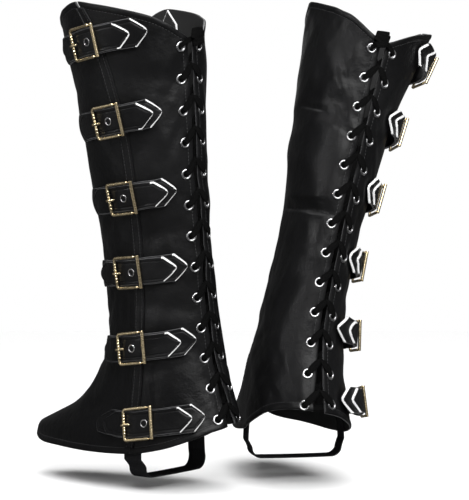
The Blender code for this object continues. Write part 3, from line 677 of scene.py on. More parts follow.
    def point(self, angle, height, lift=0.0):
        middle, normal, _, _ = self.directions(angle, height)
        return middle + normal * np.asarray(lift)[..., None]

    def degrees_for(self, distance, angle, height):
        angle, height = np.broadcast_arrays(np.asarray(angle, float), np.asarray(height, float))
        return distance / np.linalg.norm(self.one_degree(angle, height), axis=-1)

    def lacing_angle(self, height, distance):
        middle = from_table(LACING, LACING_COLUMNS, "angle", height / MM)
        return middle + self.degrees_for(distance, middle, height)

    def placket_angle(self, height):
        return from_table(PLACKET, PLACKET_COLUMNS, "angle", height / MM)


def eyelet_heights():
    return FIRST_EYELET + EYELET_PITCH * np.arange(EYELETS)


class Band:
    """Places round a cover at one level, as distances forwards from the placket's middle."""

    def __init__(self, cover, height):
        self.cover = cover
        self.places = np.linspace(-0.2, 2.2, 481)
        points = cover.cloth(self.angle(self.places, height), np.full(len(self.places), height))
        walked = distances_along(points)
        self.reach = walked - np.interp(1.0, self.places, walked)
        self.height = height

    def angle(self, place, height):
        """Angle of a place: 0 at the outer lacing edge and 1 at the placket, then on."""
        height = np.broadcast_to(np.asarray(height, float), np.shape(place))
        start = self.cover.lacing_angle(height, lacing_mm("half_gap", height))
        seam = self.cover.placket_angle(height)
        end = 360 + self.cover.lacing_angle(height, -lacing_mm("half_gap", height))
        first = start + (seam - start) * place
        return np.where(place <= 1, first, seam + (end - seam) * (place - 1) * 0.3)

    def point(self, reach, height, lift=0.0):
        place = np.interp(reach, self.reach, self.places)
        return self.cover.point(self.angle(place, height), height, lift)

    def reach_of_angle(self, angle):
        angles = self.angle(self.places, self.height)
        return float(np.interp(angle, angles, self.reach))

    def true_to_slope(self, reach, height, half):
        """Height that half a width takes up where the cloth slopes over its axis."""
        across = self.point(reach, height + half) - self.point(reach, height - half)
        return half * 2 * half / np.maximum(np.linalg.norm(across, axis=-1), 1e-6)


def new_piece(name, points, faces, kinds, slots=None, uvs=None):
    """A mesh object of some kinds of material; slots gives each face's place among them."""
    mesh = bpy.data.meshes.new(name)
    mesh.from_pydata(np.asarray(points).tolist(), [], [list(map(int, face)) for face in faces])
    for kind in kinds:
        mesh.materials.append(material(kind))
    if slots is not None:
        mesh.polygons.foreach_set("material_index", np.asarray(slots, np.int32))
    if uvs is not None:
        layer = mesh.uv_layers.new(name="cloth")
        loops = np.empty(len(mesh.loops), np.int32)
        mesh.loops.foreach_get("vertex_index", loops)
        layer.data.foreach_set("uv", np.asarray(uvs, np.float32)[loops].ravel())
    mesh.validate()
    mesh.shade_smooth()
    return placed(name, mesh)


def placed(name, data):
    """An object of some data, put into the scene."""
    obj = bpy.data.objects.new(name, data)
    bpy.context.scene.collection.objects.link(obj)
    return obj


def keep_crisp(obj, degrees):
    """Splits the shading at edges that turn more than this."""
    obj.data.set_sharp_from_angle(angle=math.radians(degrees))


def two_faced(outer, inner, keep=None):
    """Points, faces and their kinds of a closed wall between two grids, of the quads to keep.

    The kinds are 0 on the outer side, 1 on the inner side and 2 on the rim.
    """
    rows, columns = outer.shape[:2]
    index = np.arange(rows * columns).reshape(rows, columns)
    quads = np.stack((index[:-1, :-1], index[:-1, 1:], index[1:, 1:], index[1:, :-1]), -1)
    if keep is None:
        keep = np.ones(quads.shape[:2], bool)
    quads = quads[keep]
    half = rows * columns
    starts = quads.ravel()
    ends = np.roll(quads, -1, axis=1).ravel()
    forward = starts.astype(np.int64) * half + ends
    backward = ends.astype(np.int64) * half + starts
    rim = ~np.isin(forward, backward)
    walls = np.stack((ends[rim], starts[rim], starts[rim] + half, ends[rim] + half), -1)
    faces = np.concatenate((quads, quads[:, ::-1] + half, walls))
    points = np.concatenate((outer.reshape(-1, 3), inner.reshape(-1, 3)))
    used = np.unique(faces)
    renumber = np.zeros(len(points), np.int64)
    renumber[used] = np.arange(len(used))
    kinds = np.concatenate((np.zeros(len(quads)), np.ones(len(quads)), np.full(len(walls), 2)))
    points = points[used]
    return points, outward_faces(points, renumber[faces]), kinds.astype(int)


def for_outer(flags, faces):
    """Flags of the outer side's faces, then none for the other faces."""
    return np.concatenate((flags.ravel(), np.zeros(len(faces) - flags.size, bool)))


def outward_faces(points, faces):
    """The faces turned so that the closed body they make is the right way out."""
    a, b, c, d = (points[faces[:, k]] for k in range(4))
    volume = (a * np.cross(b, c)).sum() + (a * np.cross(c, d)).sum()
    return faces if volume > 0 else faces[:, ::-1]


def swept(middles, wides, thicks, profile, closed=False):
    """Points, faces and uvs of a bar with a profile of (wide, thick) shares."""
    profile = np.asarray(profile, float)
    sides = len(profile)
    points = (
        middles[:, None]
        + profile[None, :, :1] * wides[:, None]
        + profile[None, :, 1:] * thicks[:, None]
    )
    count = len(middles)
    rings = np.arange(count * sides).reshape(count, sides)
    following = np.roll(rings, -1, axis=0) if closed else rings[1:]
    start = rings if closed else rings[:-1]
    quads = np.stack((start, np.roll(start, -1, 1), np.roll(following, -1, 1), following), -1)
    faces = quads.reshape(-1, 4).tolist()
    if not closed:
        faces += [rings[0][::-1].tolist(), rings[-1].tolist()]
    walked = distances_along(middles)
    around = np.linspace(0, 1, sides)
    uvs = np.stack(np.broadcast_arrays(around[None, :], walked[:, None]), -1).reshape(-1, 2)
    return points.reshape(-1, 3), faces, uvs


def rounded_profile(sides, squareness=0.6):
    """A closed outline from -1 to 1 both ways, from round (1) to nearly square (0.3)."""
    turns = 2 * math.pi * (np.arange(sides) + 0.5) / sides
    both = np.stack((np.cos(turns), np.sin(turns)), -1)
    return np.sign(both) * np.abs(both) ** squareness


def joined(parts):
    """Points and faces of several meshes in one."""
    points, faces, start = [], [], 0
    for more_points, more_faces in parts:
        points.append(np.asarray(more_points))
        faces += [[int(i) + start for i in face] for face in more_faces]
        start += len(more_points)
    return np.concatenate(points), faces


class Nodes:
    """A material's node tree, built one node at a time."""

    def __init__(self, name, colour, roughness, metallic=0.0):
        self.material = bpy.data.materials.new(name)
        self.material.use_nodes = True
        self.tree = self.material.node_tree
        self.shader = self.tree.nodes["Principled BSDF"]
        self.shader.inputs["Base Color"].default_value = (*colour, 1)
        self.shader.inputs["Roughness"].default_value = roughness
        self.shader.inputs["Metallic"].default_value = metallic
        self.material.diffuse_color = (*colour, 1)

    def add(self, kind, settings=None, **inputs):
        node = self.tree.nodes.new(kind)
        for key, value in (settings or {}).items():
            setattr(node, key, value)
        for key, value in inputs.items():
            socket = node.inputs[key.replace("_", " ")]
            if isinstance(value, bpy.types.NodeSocket):
                self.tree.links.new(value, socket)
            else:
                socket.default_value = value
        return node

    def link(self, source, socket):
        self.tree.links.new(source, self.shader.inputs[socket])

    def noise(self, vector, scale, detail=2.0, roughness=0.5):
        values = dict(Vector=vector, Scale=scale, Detail=detail, Roughness=roughness)
        return self.add("ShaderNodeTexNoise", **values).outputs["Fac"]

    def spread(self, value, low, high):
        """A noise's usual range spread over low..high."""
        node = self.add("ShaderNodeMapRange", Value=value)
        limits = ("From Min", "From Max", "To Min", "To Max")
        for socket, limit in zip(limits, (*NOISE_RANGE, low, high)):
            node.inputs[socket].default_value = limit
        return node.outputs["Result"]

    def tint(self, value, dark, light):
        ramp = self.add("ShaderNodeValToRGB", Fac=value)
        for stop, position, colour in zip(ramp.color_ramp.elements, NOISE_RANGE, (dark, light)):
            stop.color = (*colour, 1)
            stop.position = position
        return ramp.outputs["Color"]

    def bump(self, height, distance, strength=1.0, under=None):
        node = self.add("ShaderNodeBump", Height=height, Distance=distance, Strength=strength)
        if under is not None:
            self.tree.links.new(under, node.inputs["Normal"])
        return node.outputs["Normal"]


MATERIALS = {}
NOISE_RANGE = (0.3, 0.7)

# The leather's noises by scale, where wrinkles are this many pebbles wide, and their depths.
BROAD_SCALE = 24.0
PATCH_SCALE = 11.0
WRINKLE_PEBBLES = 9
PEBBLE_DEPTH = 0.07
WRINKLE_DEPTH = 0.6
BROAD_DEPTH = 2.4 * MM
BROAD_STRENGTH = 0.9
LEATHER_SPECULAR = 0.15

METAL_ROUGHNESS = 0.24
METAL_DULL_SHARE = 0.82
SCRATCH_STRETCH = 14.0
SCRATCH_DEPTH = 0.03 * MM

WEAVE_ROUGHNESS = 0.85
WEAVE_LIGHTER = 2.2
RIB_DEPTH = 0.20 * MM
THREAD_DEPTH = 0.12 * MM
WEAVE_SPECULAR = 0.04

FIBRE_SCALE = 1400.0
FIBRE_DARK_SHARE = 0.78
FIBRE_DEPTH = 0.12 * MM


def object_place(nodes):
    return nodes.add("ShaderNodeTexCoord").outputs["Object"]


def leather_material(name, colour, roughness, grain, wear=1.0):
    """Faux leather: pebbled grain, shallow wrinkles, and a sheen that varies a little."""
    nodes = Nodes(name, colour, roughness)
    place = object_place(nodes)
    pebbles = nodes.add("ShaderNodeTexVoronoi", Vector=place, Scale=1 / grain)
    wrinkles = nodes.noise(place, 1 / (grain * WRINKLE_PEBBLES), detail=5.0, roughness=0.6)
    broad = nodes.noise(place, BROAD_SCALE, detail=3.0)
    patchy = nodes.noise(place, PATCH_SCALE)
    light = tuple(c * (1 + 0.5 * wear) + 0.001 for c in colour)
    nodes.link(nodes.tint(patchy, colour, light), "Base Color")
    nodes.link(nodes.spread(broad, roughness - 0.07, roughness + 0.12), "Roughness")
    shape = nodes.bump(pebbles.outputs["Distance"], grain * PEBBLE_DEPTH)
    shape = nodes.bump(wrinkles, grain * WRINKLE_DEPTH, under=shape)
    shape = nodes.bump(broad, BROAD_DEPTH, BROAD_STRENGTH, under=shape)
    nodes.link(shape, "Normal")
    nodes.shader.inputs["Specular IOR Level"].default_value = LEATHER_SPECULAR
    return nodes.material


def metal_material(name, colour, wear_scale):
    """Plated metal with fine scratches, faint waves and dulled patches."""
    nodes = Nodes(name, colour, METAL_ROUGHNESS, 1.0)
    place = object_place(nodes)
    stretched = nodes.add("ShaderNodeMapping", Vector=place, Scale=(1.0, 1.0, SCRATCH_STRETCH))
    scratches = nodes.noise(stretched.outputs["Vector"], wear_scale, detail=6.0, roughness=0.7)
    patchy = nodes.noise(place, wear_scale * 0.12)
    dark = tuple(c * METAL_DULL_SHARE for c in colour)
    nodes.link(nodes.tint(patchy, dark, colour), "Base Color")
    nodes.link(nodes.spread(scratches, METAL_ROUGHNESS - 0.06, METAL_ROUGHNESS + 0.10), "Roughness")
    nodes.link(nodes.bump(scratches, SCRATCH_DEPTH), "Normal")
    return nodes.material


def woven_material(name, colour, across, along):
    """Woven tape: crossed threads by its own uvs, with fuzz."""
    nodes = Nodes(name, colour, WEAVE_ROUGHNESS)
    uvs = nodes.add("ShaderNodeUVMap", {"uv_map": "cloth"}).outputs["UV"]
    stretched = nodes.add("ShaderNodeMapping", Vector=uvs, Scale=(across, along, 1.0))

    def waves(direction, scale, distortion):
        kind = {"wave_type": "BANDS", "bands_direction": direction}
        values = dict(Vector=stretched.outputs["Vector"], Scale=scale, Distortion=distortion)
        return nodes.add("ShaderNodeTexWave", kind, **values).outputs["Fac"]

    ribs = waves("X", 1.0, 0.6)
    threads = waves("DIAGONAL", 2.2, 0.3)
    light = tuple(c * WEAVE_LIGHTER + 0.0008 for c in colour)
    nodes.link(nodes.tint(threads, colour, light), "Base Color")
    shape = nodes.bump(ribs, RIB_DEPTH)
    shape = nodes.bump(threads, THREAD_DEPTH, under=shape)
    nodes.link(shape, "Normal")
    nodes.shader.inputs["Specular IOR Level"].default_value = WEAVE_SPECULAR
    return nodes.material


def edge_material(name, colour, roughness):
    """Cut edge of a strap: pressed fibres of the backing, in layers. In the grey edge lines and the pale
    tips its colour is partly a painted highlight.
    """
    nodes = Nodes(name, colour, roughness)
    fibres = nodes.noise(object_place(nodes), FIBRE_SCALE, detail=4.0, roughness=0.7)
    dark = tuple(c * FIBRE_DARK_SHARE for c in colour)
    nodes.link(nodes.tint(fibres, dark, colour), "Base Color")
    nodes.link(nodes.bump(fibres, FIBRE_DEPTH), "Normal")
    return nodes.material


def material(name):
    """The named material, made on first use from the scene's settings."""
    if name in MATERIALS:
        return MATERIALS[name]
    scene = bpy.context.scene
    cloth, metal, lace = scene.boot_cover_cloth, scene.boot_cover_hardware, scene.boot_cover_lace
    leather = tuple(cloth.leather)
    makers = {
        "leather": lambda: leather_material("black_leather", leather, cloth.roughness, cloth.grain),
        "strap_leather": lambda: leather_material(
            "strap_leather", leather, cloth.roughness - 0.04, cloth.grain * 0.8, wear=1.4
        ),
        "backing": lambda: edge_material("knit_backing", (0.005, 0.005, 0.0052), 0.9),
        # Grey edges, lighter than the leather: on the straps' edges and the panels' rims they are partly
        # a painted highlight line.
        "edge_grey_and_highlight": lambda: edge_material("painted_edge", (0.050, 0.050, 0.052), 0.42),
        # Pale tips: partly the cut edge's own colour, partly a painted highlight.
        "pale_edge_and_highlight": lambda: edge_material("cut_edge", tuple(cloth.pale_edge_and_highlight), 0.5),
        "thread": lambda: edge_material("sewing_thread", (0.020, 0.020, 0.021), 0.6),
        "brass": lambda: metal_material("pale_brass", tuple(metal.brass), 300.0),
        "steel": lambda: metal_material("nickel", tuple(metal.steel), 400.0),
        "lace": lambda: woven_material("lace_weave", tuple(lace.colour), 3.0, 500.0),
        "elastic": lambda: woven_material("elastic_weave", tuple(lace.elastic), 8.0, 420.0),
    }
    MATERIALS[name] = makers[name]()
    return MATERIALS[name]


def finish_piece(obj, slot, *nodes):
    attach(obj, BODY)
    if nodes:
        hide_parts(*nodes)


def band_swell(away, width):
    """Height of a turned band at a distance in from its edge, as a share, with its stitch line."""
    away = away / MM
    inside = np.clip(away / width, 0, 1)
    dome = BAND_AT_EDGE + (1 - BAND_AT_EDGE) * np.sin(math.pi * inside)
    settling = BAND_AT_EDGE * (1 - ease((away - width) / BAND_SETTLES_OVER))
    return np.where(away < width, dome, settling)


def edge_round(away):
    """How far a face falls back close to a cut or folded edge."""
    near = np.clip(1 - away / EDGE_RADIUS, 0, 1)
    return EDGE_DEPTH * (1 - np.sqrt(1 - near * near * 0.98))


def row_shares(cover):
    """Shares of the way up a panel, closer together round the sharpest creases."""
    even = np.linspace(0, 1, 501)
    low = hem_height(CROWDED_AT)
    high = top_height(cover, np.array([CROWDED_AT]))[0]
    weight = np.ones_like(even)
    for middle, reach in CROWDED_ROWS:
        away = (low + (high - low) * even - middle) / reach
        weight += CROWDING * np.exp(-away * away)
    walked = np.concatenate(([0.0], np.cumsum((weight[1:] + weight[:-1]) / 2)))
    return np.interp(np.linspace(0, 1, EVEN_ROWS + 2)[1:-1], walked / walked[-1], even)


def panel_grid(cover, kind):
    """Angles, heights and distances from the edges over a panel."""
    steps, count = EDGE_STEPS, len(EDGE_STEPS)
    rows = 2 * count + EVEN_ROWS
    columns = 2 * count + EVEN_COLUMNS[kind]
    share = row_shares(cover)
    sideways = np.linspace(0, 1, EVEN_COLUMNS[kind] + 2)[1:-1]
    height = np.full((rows, columns), MID_HEIGHT)
    for _ in range(ROUNDS):
        gap = lacing_mm("half_gap", height)
        seam = cover.placket_angle(height)
        notch = NOTCH_HALF_WIDTH * ease((height - NOTCH_STARTS) / NOTCH_OPENS_OVER)
        shift = cover.degrees_for(SEAM / 2 + notch, seam, height)
        if kind == "outer_panel":
            first, last = cover.lacing_angle(height, gap), seam - shift
        else:
            first, last = seam + shift, 360 + cover.lacing_angle(height, -gap)
        low_rate = cover.degrees_for(1.0, first, height)
        high_rate = cover.degrees_for(1.0, last, height)
        angle = np.empty((rows, columns))
        angle[:, :count] = first[:, :count] + low_rate[:, :count] * steps
        angle[:, -count:] = last[:, -count:] - high_rate[:, -count:] * steps[::-1]
        near = (first + low_rate * steps[-1])[:, count:-count]
        far = (last - high_rate * steps[-1])[:, count:-count]
        angle[:, count:-count] = near + (far - near) * sideways
        low, high = hem_height(angle), top_height(cover, angle)
        height = np.empty((rows, columns))
        height[:count] = low[:count] + steps[:, None]
        height[-count:] = high[-count:] - steps[::-1, None]
        middle_low = (low + steps[-1])[count:-count]
        middle_high = (high - steps[-1])[count:-count]
        height[count:-count] = middle_low + (middle_high - middle_low) * share[:, None]
    from_hem, from_top = height - hem_height(angle), top_height(cover, angle) - height
    from_first = (angle - first) / low_rate
    from_last = (last - angle) / high_rate
    return angle, height, from_hem, from_top, from_first, from_last


def make_panel(cover, kind):
    cloth = bpy.context.scene.boot_cover_cloth
    angle, height, from_hem, from_top, from_first, from_last = panel_grid(cover, kind)
    swell = band_swell(from_hem, HEM_BAND) + band_swell(from_top, HEM_BAND)
    lacing_side = from_first if kind == "outer_panel" else from_last
    swell += band_swell(lacing_side, LACING_BAND) * LACING_SWELL * (swell < 0.1)
    nearest = np.minimum(np.minimum(from_hem, from_top), np.minimum(from_first, from_last))
    rounding = edge_round(nearest)
    outer = cover.point(angle, height, swell * cloth.band_swell - rounding)
    inner = cover.point(angle, height, -WALL + rounding)
    side = 1 if kind == "outer_panel" else -1
    holes = eyelet_heights()
    distance = side * lacing_mm("half_spacing", holes)
    middles = cover.point(cover.lacing_angle(holes, distance), holes, 0.0)
    centres = (outer[:-1, :-1] + outer[1:, 1:] + outer[1:, :-1] + outer[:-1, 1:]) / 4
    keep = np.ones(centres.shape[:2], bool)
    for middle in middles:
        keep &= np.linalg.norm(centres - middle, axis=-1) > EYELET_CUT
    points, faces, kinds = two_faced(outer, inner, keep)
    # The rims, at the lacing and round the holes too, are the grey edge colour: partly a painted
    # highlight line.
    sides = ["leather", "backing", "edge_grey_and_highlight"]
    obj = new_piece(f"{cover.name}_{kind}_cloth", points, faces, sides, kinds)
    finish_piece(obj, "leather", f"{cover.name}_{kind}")


def stitches(points, normals):
    """Points and faces of a row of stitches along a line of points."""
    cloth = bpy.context.scene.boot_cover_cloth
    length, radius = cloth.stitch, cloth.thread / 2
    walked = distances_along(points)
    count = max(int(walked[-1] / (length * STITCH_PITCH)), 1)
    shares, sizes, dips = np.array(STITCH_FORM).T
    shares, sizes, dips = shares * length, sizes * radius, dips * radius
    profile = rounded_profile(6, 1.0)
    middles = walked[-1] / count * (np.arange(count) + 0.5)
    at = np.clip(middles[:, None] + shares, 0, walked[-1])
    line = np.stack([np.interp(at, walked, points[:, axis]) for axis in range(3)], -1)
    out = unit(np.stack([np.interp(at, walked, normals[:, axis]) for axis in range(3)], -1))
    along = unit(line[:, -1] - line[:, 0])[:, None]
    across = unit(np.cross(out, along))
    line = line + out * (dips + radius * STITCH_PROUD)[:, None]
    _, faces, _ = swept(line[0], across[0] * sizes[:, None], out[0] * sizes[:, None], profile)
    wide = (across * sizes[:, None])[:, :, None] * profile[None, None, :, :1]
    thick = (out * sizes[:, None])[:, :, None] * profile[None, None, :, 1:]
    made = (line[:, :, None] + wide + thick).reshape(count, -1, 3)
    return [(stitch, faces) for stitch in made]


def sewn(cover, angle, height, lift):
    """A row of stitches along a line on the cloth."""
    middle, normal, _, _ = cover.directions(angle, height)
    return stitches(middle + normal * lift, normal)


def make_seams(cover):
    """The rows of stitches on the panels, at the hem, the top and both lacing edges."""
    parts = []
    heights = np.linspace(0.0, 0.44, 300)
    for side, full_turn in ((1, 0), (-1, 360)):
        away = side * (lacing_mm("half_gap", heights) + (LACING_BAND + ROW_PAST_BAND) * MM)
        angle = full_turn + cover.lacing_angle(heights, away)
        over_hem = heights > hem_height(angle) + ROW_KEEPS_UP
        inside = over_hem & (heights < top_height(cover, angle) - ROW_KEEPS_UP)
        parts += sewn(cover, angle[inside], heights[inside], 0.0)
    for kind in EVEN_COLUMNS:
        for edge in ("hem", "top"):
            angle, height = edge_line(cover, kind, edge, (HEM_BAND + ROW_PAST_BAND) * MM)
            parts += sewn(cover, angle, height, 0.0)
    points, faces = joined(parts)
    obj = new_piece(f"{cover.name}_panel_stitches", points, faces, ["thread"])
    finish_piece(obj, "leather")


def edge_line(cover, kind, edge, inset):
    """Angles and heights along a panel's hem or top, a distance in from it."""
    share = np.linspace(0, 1, 260)
    height = np.full(len(share), 0.02 if edge == "hem" else 0.4)
    for _ in range(ROUNDS):
        margin = cover.degrees_for(ROW_KEEPS_ASIDE, 90.0, height)
        seam = cover.placket_angle(height)
        gap = lacing_mm("half_gap", height)
        if kind == "outer_panel":
            first, last = cover.lacing_angle(height, gap) + margin, seam - margin
        else:
            first, last = seam + margin, 360 + cover.lacing_angle(height, -gap) - margin
        angle = first + (last - first) * share
        height = hem_height(angle) + inset if edge == "hem" else top_height(cover, angle) - inset
    return angle, height


def make_placket(cover):
    """The strip over the panels' seam, with a channel along it and a row of stitches each side."""
    places, lifts = np.array(PLACKET_FORM).T
    across = np.concatenate((-places, places[-2::-1]))
    lifts = np.concatenate((lifts, lifts[-2::-1]))
    seam_angle = cover.placket_angle(np.array((0.02, 0.42)))
    low = float(hem_height(seam_angle[0])) + PLACKET_ENDS_IN
    high = float(top_height(cover, seam_angle[1])) - PLACKET_ENDS_IN
    heights = np.linspace(low, high, PLACKET_ROWS)[:, None] * np.ones((1, len(across)))
    seam = cover.placket_angle(heights)
    angle = seam + cover.degrees_for(1.0, seam, heights) * across * MM
    outer = cover.point(angle, heights, PLACKET_SIT + lifts * MM)
    inner = cover.point(angle, heights, PLACKET_SIT)
    points, faces, _ = two_faced(outer, inner)
    obj = new_piece(f"{cover.name}_placket_strip", points, faces, ["leather"])
    finish_piece(obj, "leather", f"{cover.name}_placket")
    parts = []
    seam, heights = seam[:, 0], heights[:, 0]
    for side in (-1, 1):
        angle = seam + cover.degrees_for(1.0, seam, heights) * side * PLACKET_ROW_OUT
        parts += sewn(cover, angle, heights, PLACKET_SIT + PLACKET_ROW_LIFT)
    points, faces = joined(parts)
    thread = new_piece(f"{cover.name}_placket_stitches", points, faces, ["thread"])
    finish_piece(thread, "leather")


def make_inner_tab(cover):
    """The pointed facing strip inside the inner side's peak, with its pale cut edges."""
    middle, point, bevel = INNER_TAB["angle"], INNER_TAB["point"], INNER_TAB_BEVEL
    tip = np.linspace(0, 1, 24)[:-1] * point
    down = np.concatenate((tip, np.linspace(point, INNER_TAB["length"], 30)))
    share = np.clip(down / point, 0, 1)
    half = TIP_HALF_WIDTH + (INNER_TAB["half_width"] - TIP_HALF_WIDTH) * share
    inset = np.minimum(np.array((0.0, 0.5, 1.0, 1.0, 3.0))[None] * bevel, half[:, None] * 0.8)
    near = inset - half[:, None]
    across = np.concatenate((near, np.zeros((len(down), 1)), -near[:, ::-1]), axis=1)
    top = top_height(cover, np.array([middle]))[0] - INNER_TAB_BELOW_TOP
    height = (top - down)[:, None] * np.ones_like(across)
    angle = middle + cover.degrees_for(1.0, middle, height) * across
    from_edge = half[:, None] - np.abs(across)
    fall = INNER_TAB_THICKNESS * 0.8 * np.clip(1 - from_edge / bevel, 0, 1)
    seen = cover.point(angle, height, INNER_TAB_UNDER - INNER_TAB_THICKNESS + fall)
    hidden = cover.point(angle, height, np.full(angle.shape, INNER_TAB_UNDER))
    points, faces, kinds = two_faced(seen, hidden)
    pale = for_outer(between(from_edge) < bevel, faces) | (kinds == 2)
    obj = new_piece(f"{cover.name}_inner_tab", points, faces, ["backing", "pale_edge_and_highlight"], pale)
    finish_piece(obj, "leather")


def lift_over_placket(reach):
    share = (LIFT_ENDS_AT - np.abs(reach)) / (LIFT_ENDS_AT - LIFT_FULL_WITHIN)
    return (PLACKET_THICKNESS + SEAM) * ease(share)


def strap_sizes(number):
    return dict(zip(STRAP_COLUMNS, STRAPS[number - 1]))


def bow(cover, number, past_buckle):
    """How far a strap row stands off the cloth, at a distance in front of the buckle."""
    size = strap_sizes(number)
    full = cover.bows[number - 1]
    knots = (-size["under_rear"], BOW_FULL_FROM, BOW_FULL_TO, UNDER_STRAP["front"])
    lifts = np.array((full * BOW_AT_TIP, full, full, 0.0))
    return np.interp(past_buckle / MM, knots, lifts) * MM


def strap_outline(strap, rear, front):
    """Stations along a strap, close together at its two points, and its half width at each."""
    point = strap["point"] * MM
    middle = np.arange(rear + point, front - point, STRAP_STEP)
    reach = np.concatenate((rear + TIP_SHARES * point, middle, front - (TIP_SHARES * point)[::-1]))
    share = np.clip(np.minimum(reach - rear, front - reach) / point, 0, 1)
    rounded = point * TIP_ROUNDNESS
    spread = np.sqrt((share * point + rounded) ** 2 - rounded**2)
    spread = spread / math.sqrt((point + rounded) ** 2 - rounded**2)
    return reach, TIP_HALF_WIDTH + (strap["half_width"] * MM - TIP_HALF_WIDTH) * spread


def strap_columns(half):
    """Places across a strap from edge to edge, for each half width, and their distances in."""
    scale = np.minimum(1.0, half / STRAP_INSETS_FIT)[:, None]
    near = -half[:, None] + STRAP_INSETS * MM * scale
    places = np.concatenate((near, near[:, -1:] * STRAP_MIDDLES, -near[:, ::-1]), axis=1)
    middle = np.full(len(STRAP_MIDDLES), STRAP_MIDDLE_INSET)
    away = np.concatenate((STRAP_INSETS, middle, STRAP_INSETS[::-1]))
    return places, np.broadcast_to(away * MM, places.shape), scale


def make_strap(cover, number, strap, name, under):
    """A strap with two pointed ends, a pressed line along its edge, grey edge lines that are a painted
    highlight, and pale cut ends that are partly a painted highlight.
    """
    size = strap_sizes(number)
    band = Band(cover, size["height"] * MM)
    buckle = band.reach_of_angle(size["angle"])
    point, full, thickness = (strap[key] * MM for key in ("point", "half_width", "thickness"))
    rear = buckle - size[strap["rear"]] * MM
    front = buckle + strap["front"] * MM
    reach, half = strap_outline(strap, rear, front)
    places, away, scale = strap_columns(half)
    level = size["height"] * MM + size["rise"] / size["under_rear"] * (buckle - reach)
    past_buckle = np.clip((reach - buckle) / (UNDER_STRAP["front"] * MM), 0, 1)
    level += FRONT_RISES[number - 1] * MM * past_buckle**FRONT_RISE_POWER
    slope = band.true_to_slope(reach, level, np.full(len(reach), full)) / full
    up = level[:, None] + places * slope[:, None]
    along = reach[:, None] * np.ones_like(places)
    lift = under + lift_over_placket(reach) + bow(cover, number, reach - buckle)
    groove = (away / MM - GROOVE_IN) / GROOVE_HALF_WIDTH
    groove = GROOVE_DEPTH * np.exp(-(groove**2)) * scale
    crown = STRAP_CROWN * (1 - (places / full) ** 2)
    edge = np.clip(1 - away / MM / STRAP_EDGE_WITHIN, 0, 1)
    rounding = STRAP_EDGE_FALL * (1 - np.sqrt(np.clip(1 - edge**2, 0, 1)))
    # The pale band is narrower along the lower edge: painted shade where less light falls.
    bevel = TIP_BEVEL * np.where(places > 0, 1.0, LOWER_BEVEL_SHARE)
    cut = np.clip(1 - away * scale / bevel, 0, 1) * (reach < rear + point)[:, None]
    rounding = np.maximum(rounding, cut * thickness * BEVEL_DEPTH_SHARE)
    outer = band.point(along, up, lift[:, None] + thickness - groove + crown - rounding)
    inner = band.point(along, up, lift[:, None] + np.zeros_like(places))
    points, faces, kinds = two_faced(outer, inner)
    at_tip = nearest_reach(outer, reach, points[faces].mean(1)) < rear + point * TIP_PALE_SHARE
    rim = kinds == 2
    # The grey line along the edges of the outer face and the rims is a painted highlight.
    in_edge_highlight_line = for_outer(between(away) < EDGE_HIGHLIGHT_LINE, faces) | rim
    in_bevel = between(away) * (scale[:-1] + scale[1:]) / 2 < bevel[:-1, :-1]
    in_bevel = for_outer(in_bevel, faces) | rim
    # Pale at the rear tip's bevel, partly a painted highlight; grey edge lines as a painted highlight;
    # leather elsewhere.
    slots = np.where(in_bevel & at_tip, 2, np.where(in_edge_highlight_line, 1, 0))
    label = f"{cover.name}_{name}_{number}"
    sides = ["strap_leather", "edge_grey_and_highlight", "pale_edge_and_highlight"]
    obj = new_piece(f"{label}_leather", points, faces, sides, slots)
    keep_crisp(obj, STRAP_CRISP)
    finish_piece(obj, "leather", label)


def nearest_reach(outer, reach, centres):
    """Station of each face's centre, by the closest point of the strap's middle line."""
    middle = outer[:, outer.shape[1] // 2]
    gaps = np.linalg.norm(centres[:, None] - middle[None], axis=-1)
    return reach[gaps.argmin(1)]


def buckle_place(cover, number):
    """Middle and unit vectors (rearwards, up, out) of a seated buckle, and its ring's place."""
    bar = bpy.context.scene.boot_cover_hardware.bar
    size = strap_sizes(number)
    height = size["height"] * MM
    band = Band(cover, height)
    buckle = band.reach_of_angle(size["angle"])
    half = BUCKLE_LENGTH / 2
    slope = size["rise"] / size["under_rear"]

    def over_cloth(reach, side=0.0, half_wide=BUCKLE_WIDTH / 2, lift=0.0):
        level = height - reach * slope
        up = side * band.true_to_slope(buckle + reach, level, half_wide)
        lift = lift + lift_over_placket(buckle + reach) + bow(cover, number, np.asarray(reach))
        return band.point(buckle + reach, level + up, lift)

    rearwards = unit(over_cloth(-half) - over_cloth(half))
    up = over_cloth(0.0, 1.0) - over_cloth(0.0, -1.0)
    up = unit(up - rearwards * up.dot(rearwards))
    out = np.cross(rearwards, up)
    if out.dot(cover.outward) < 0:
        out = -out
    under_top = SIT + UNDER_STRAP["thickness"] * MM
    tongue_top = under_top + SEAM + TONGUE["thickness"] * MM + BUCKLE_CLEAR
    needed = []
    for reach in np.linspace(-half, half, BUCKLE_PLACES):
        for side in (-1, 0, 1):
            edge = over_cloth(reach, side, UNDER_STRAP["half_width"] * MM, under_top)
            needed.append(edge.dot(out) + bar / 2)
            top = over_cloth(reach, side, TONGUE["half_width"] * MM, tongue_top).dot(out)
            crossed = abs(reach) > half - BUCKLE_END_BARS * bar
            needed.append(top + bar / 2 if crossed else top - TONGUE_UP_IN_WINDOW)
    middle = (over_cloth(-half) + over_cloth(half)) / 2
    middle = middle + out * (max(needed) + BUCKLE_CLEAR - middle.dot(out))
    ring_reach = -size["ring_behind"] * MM
    ring = over_cloth(ring_reach, 0.0, BUCKLE_WIDTH / 2, tongue_top + RING_OFF_CLOTH)
    return middle, rearwards, up, out, ring


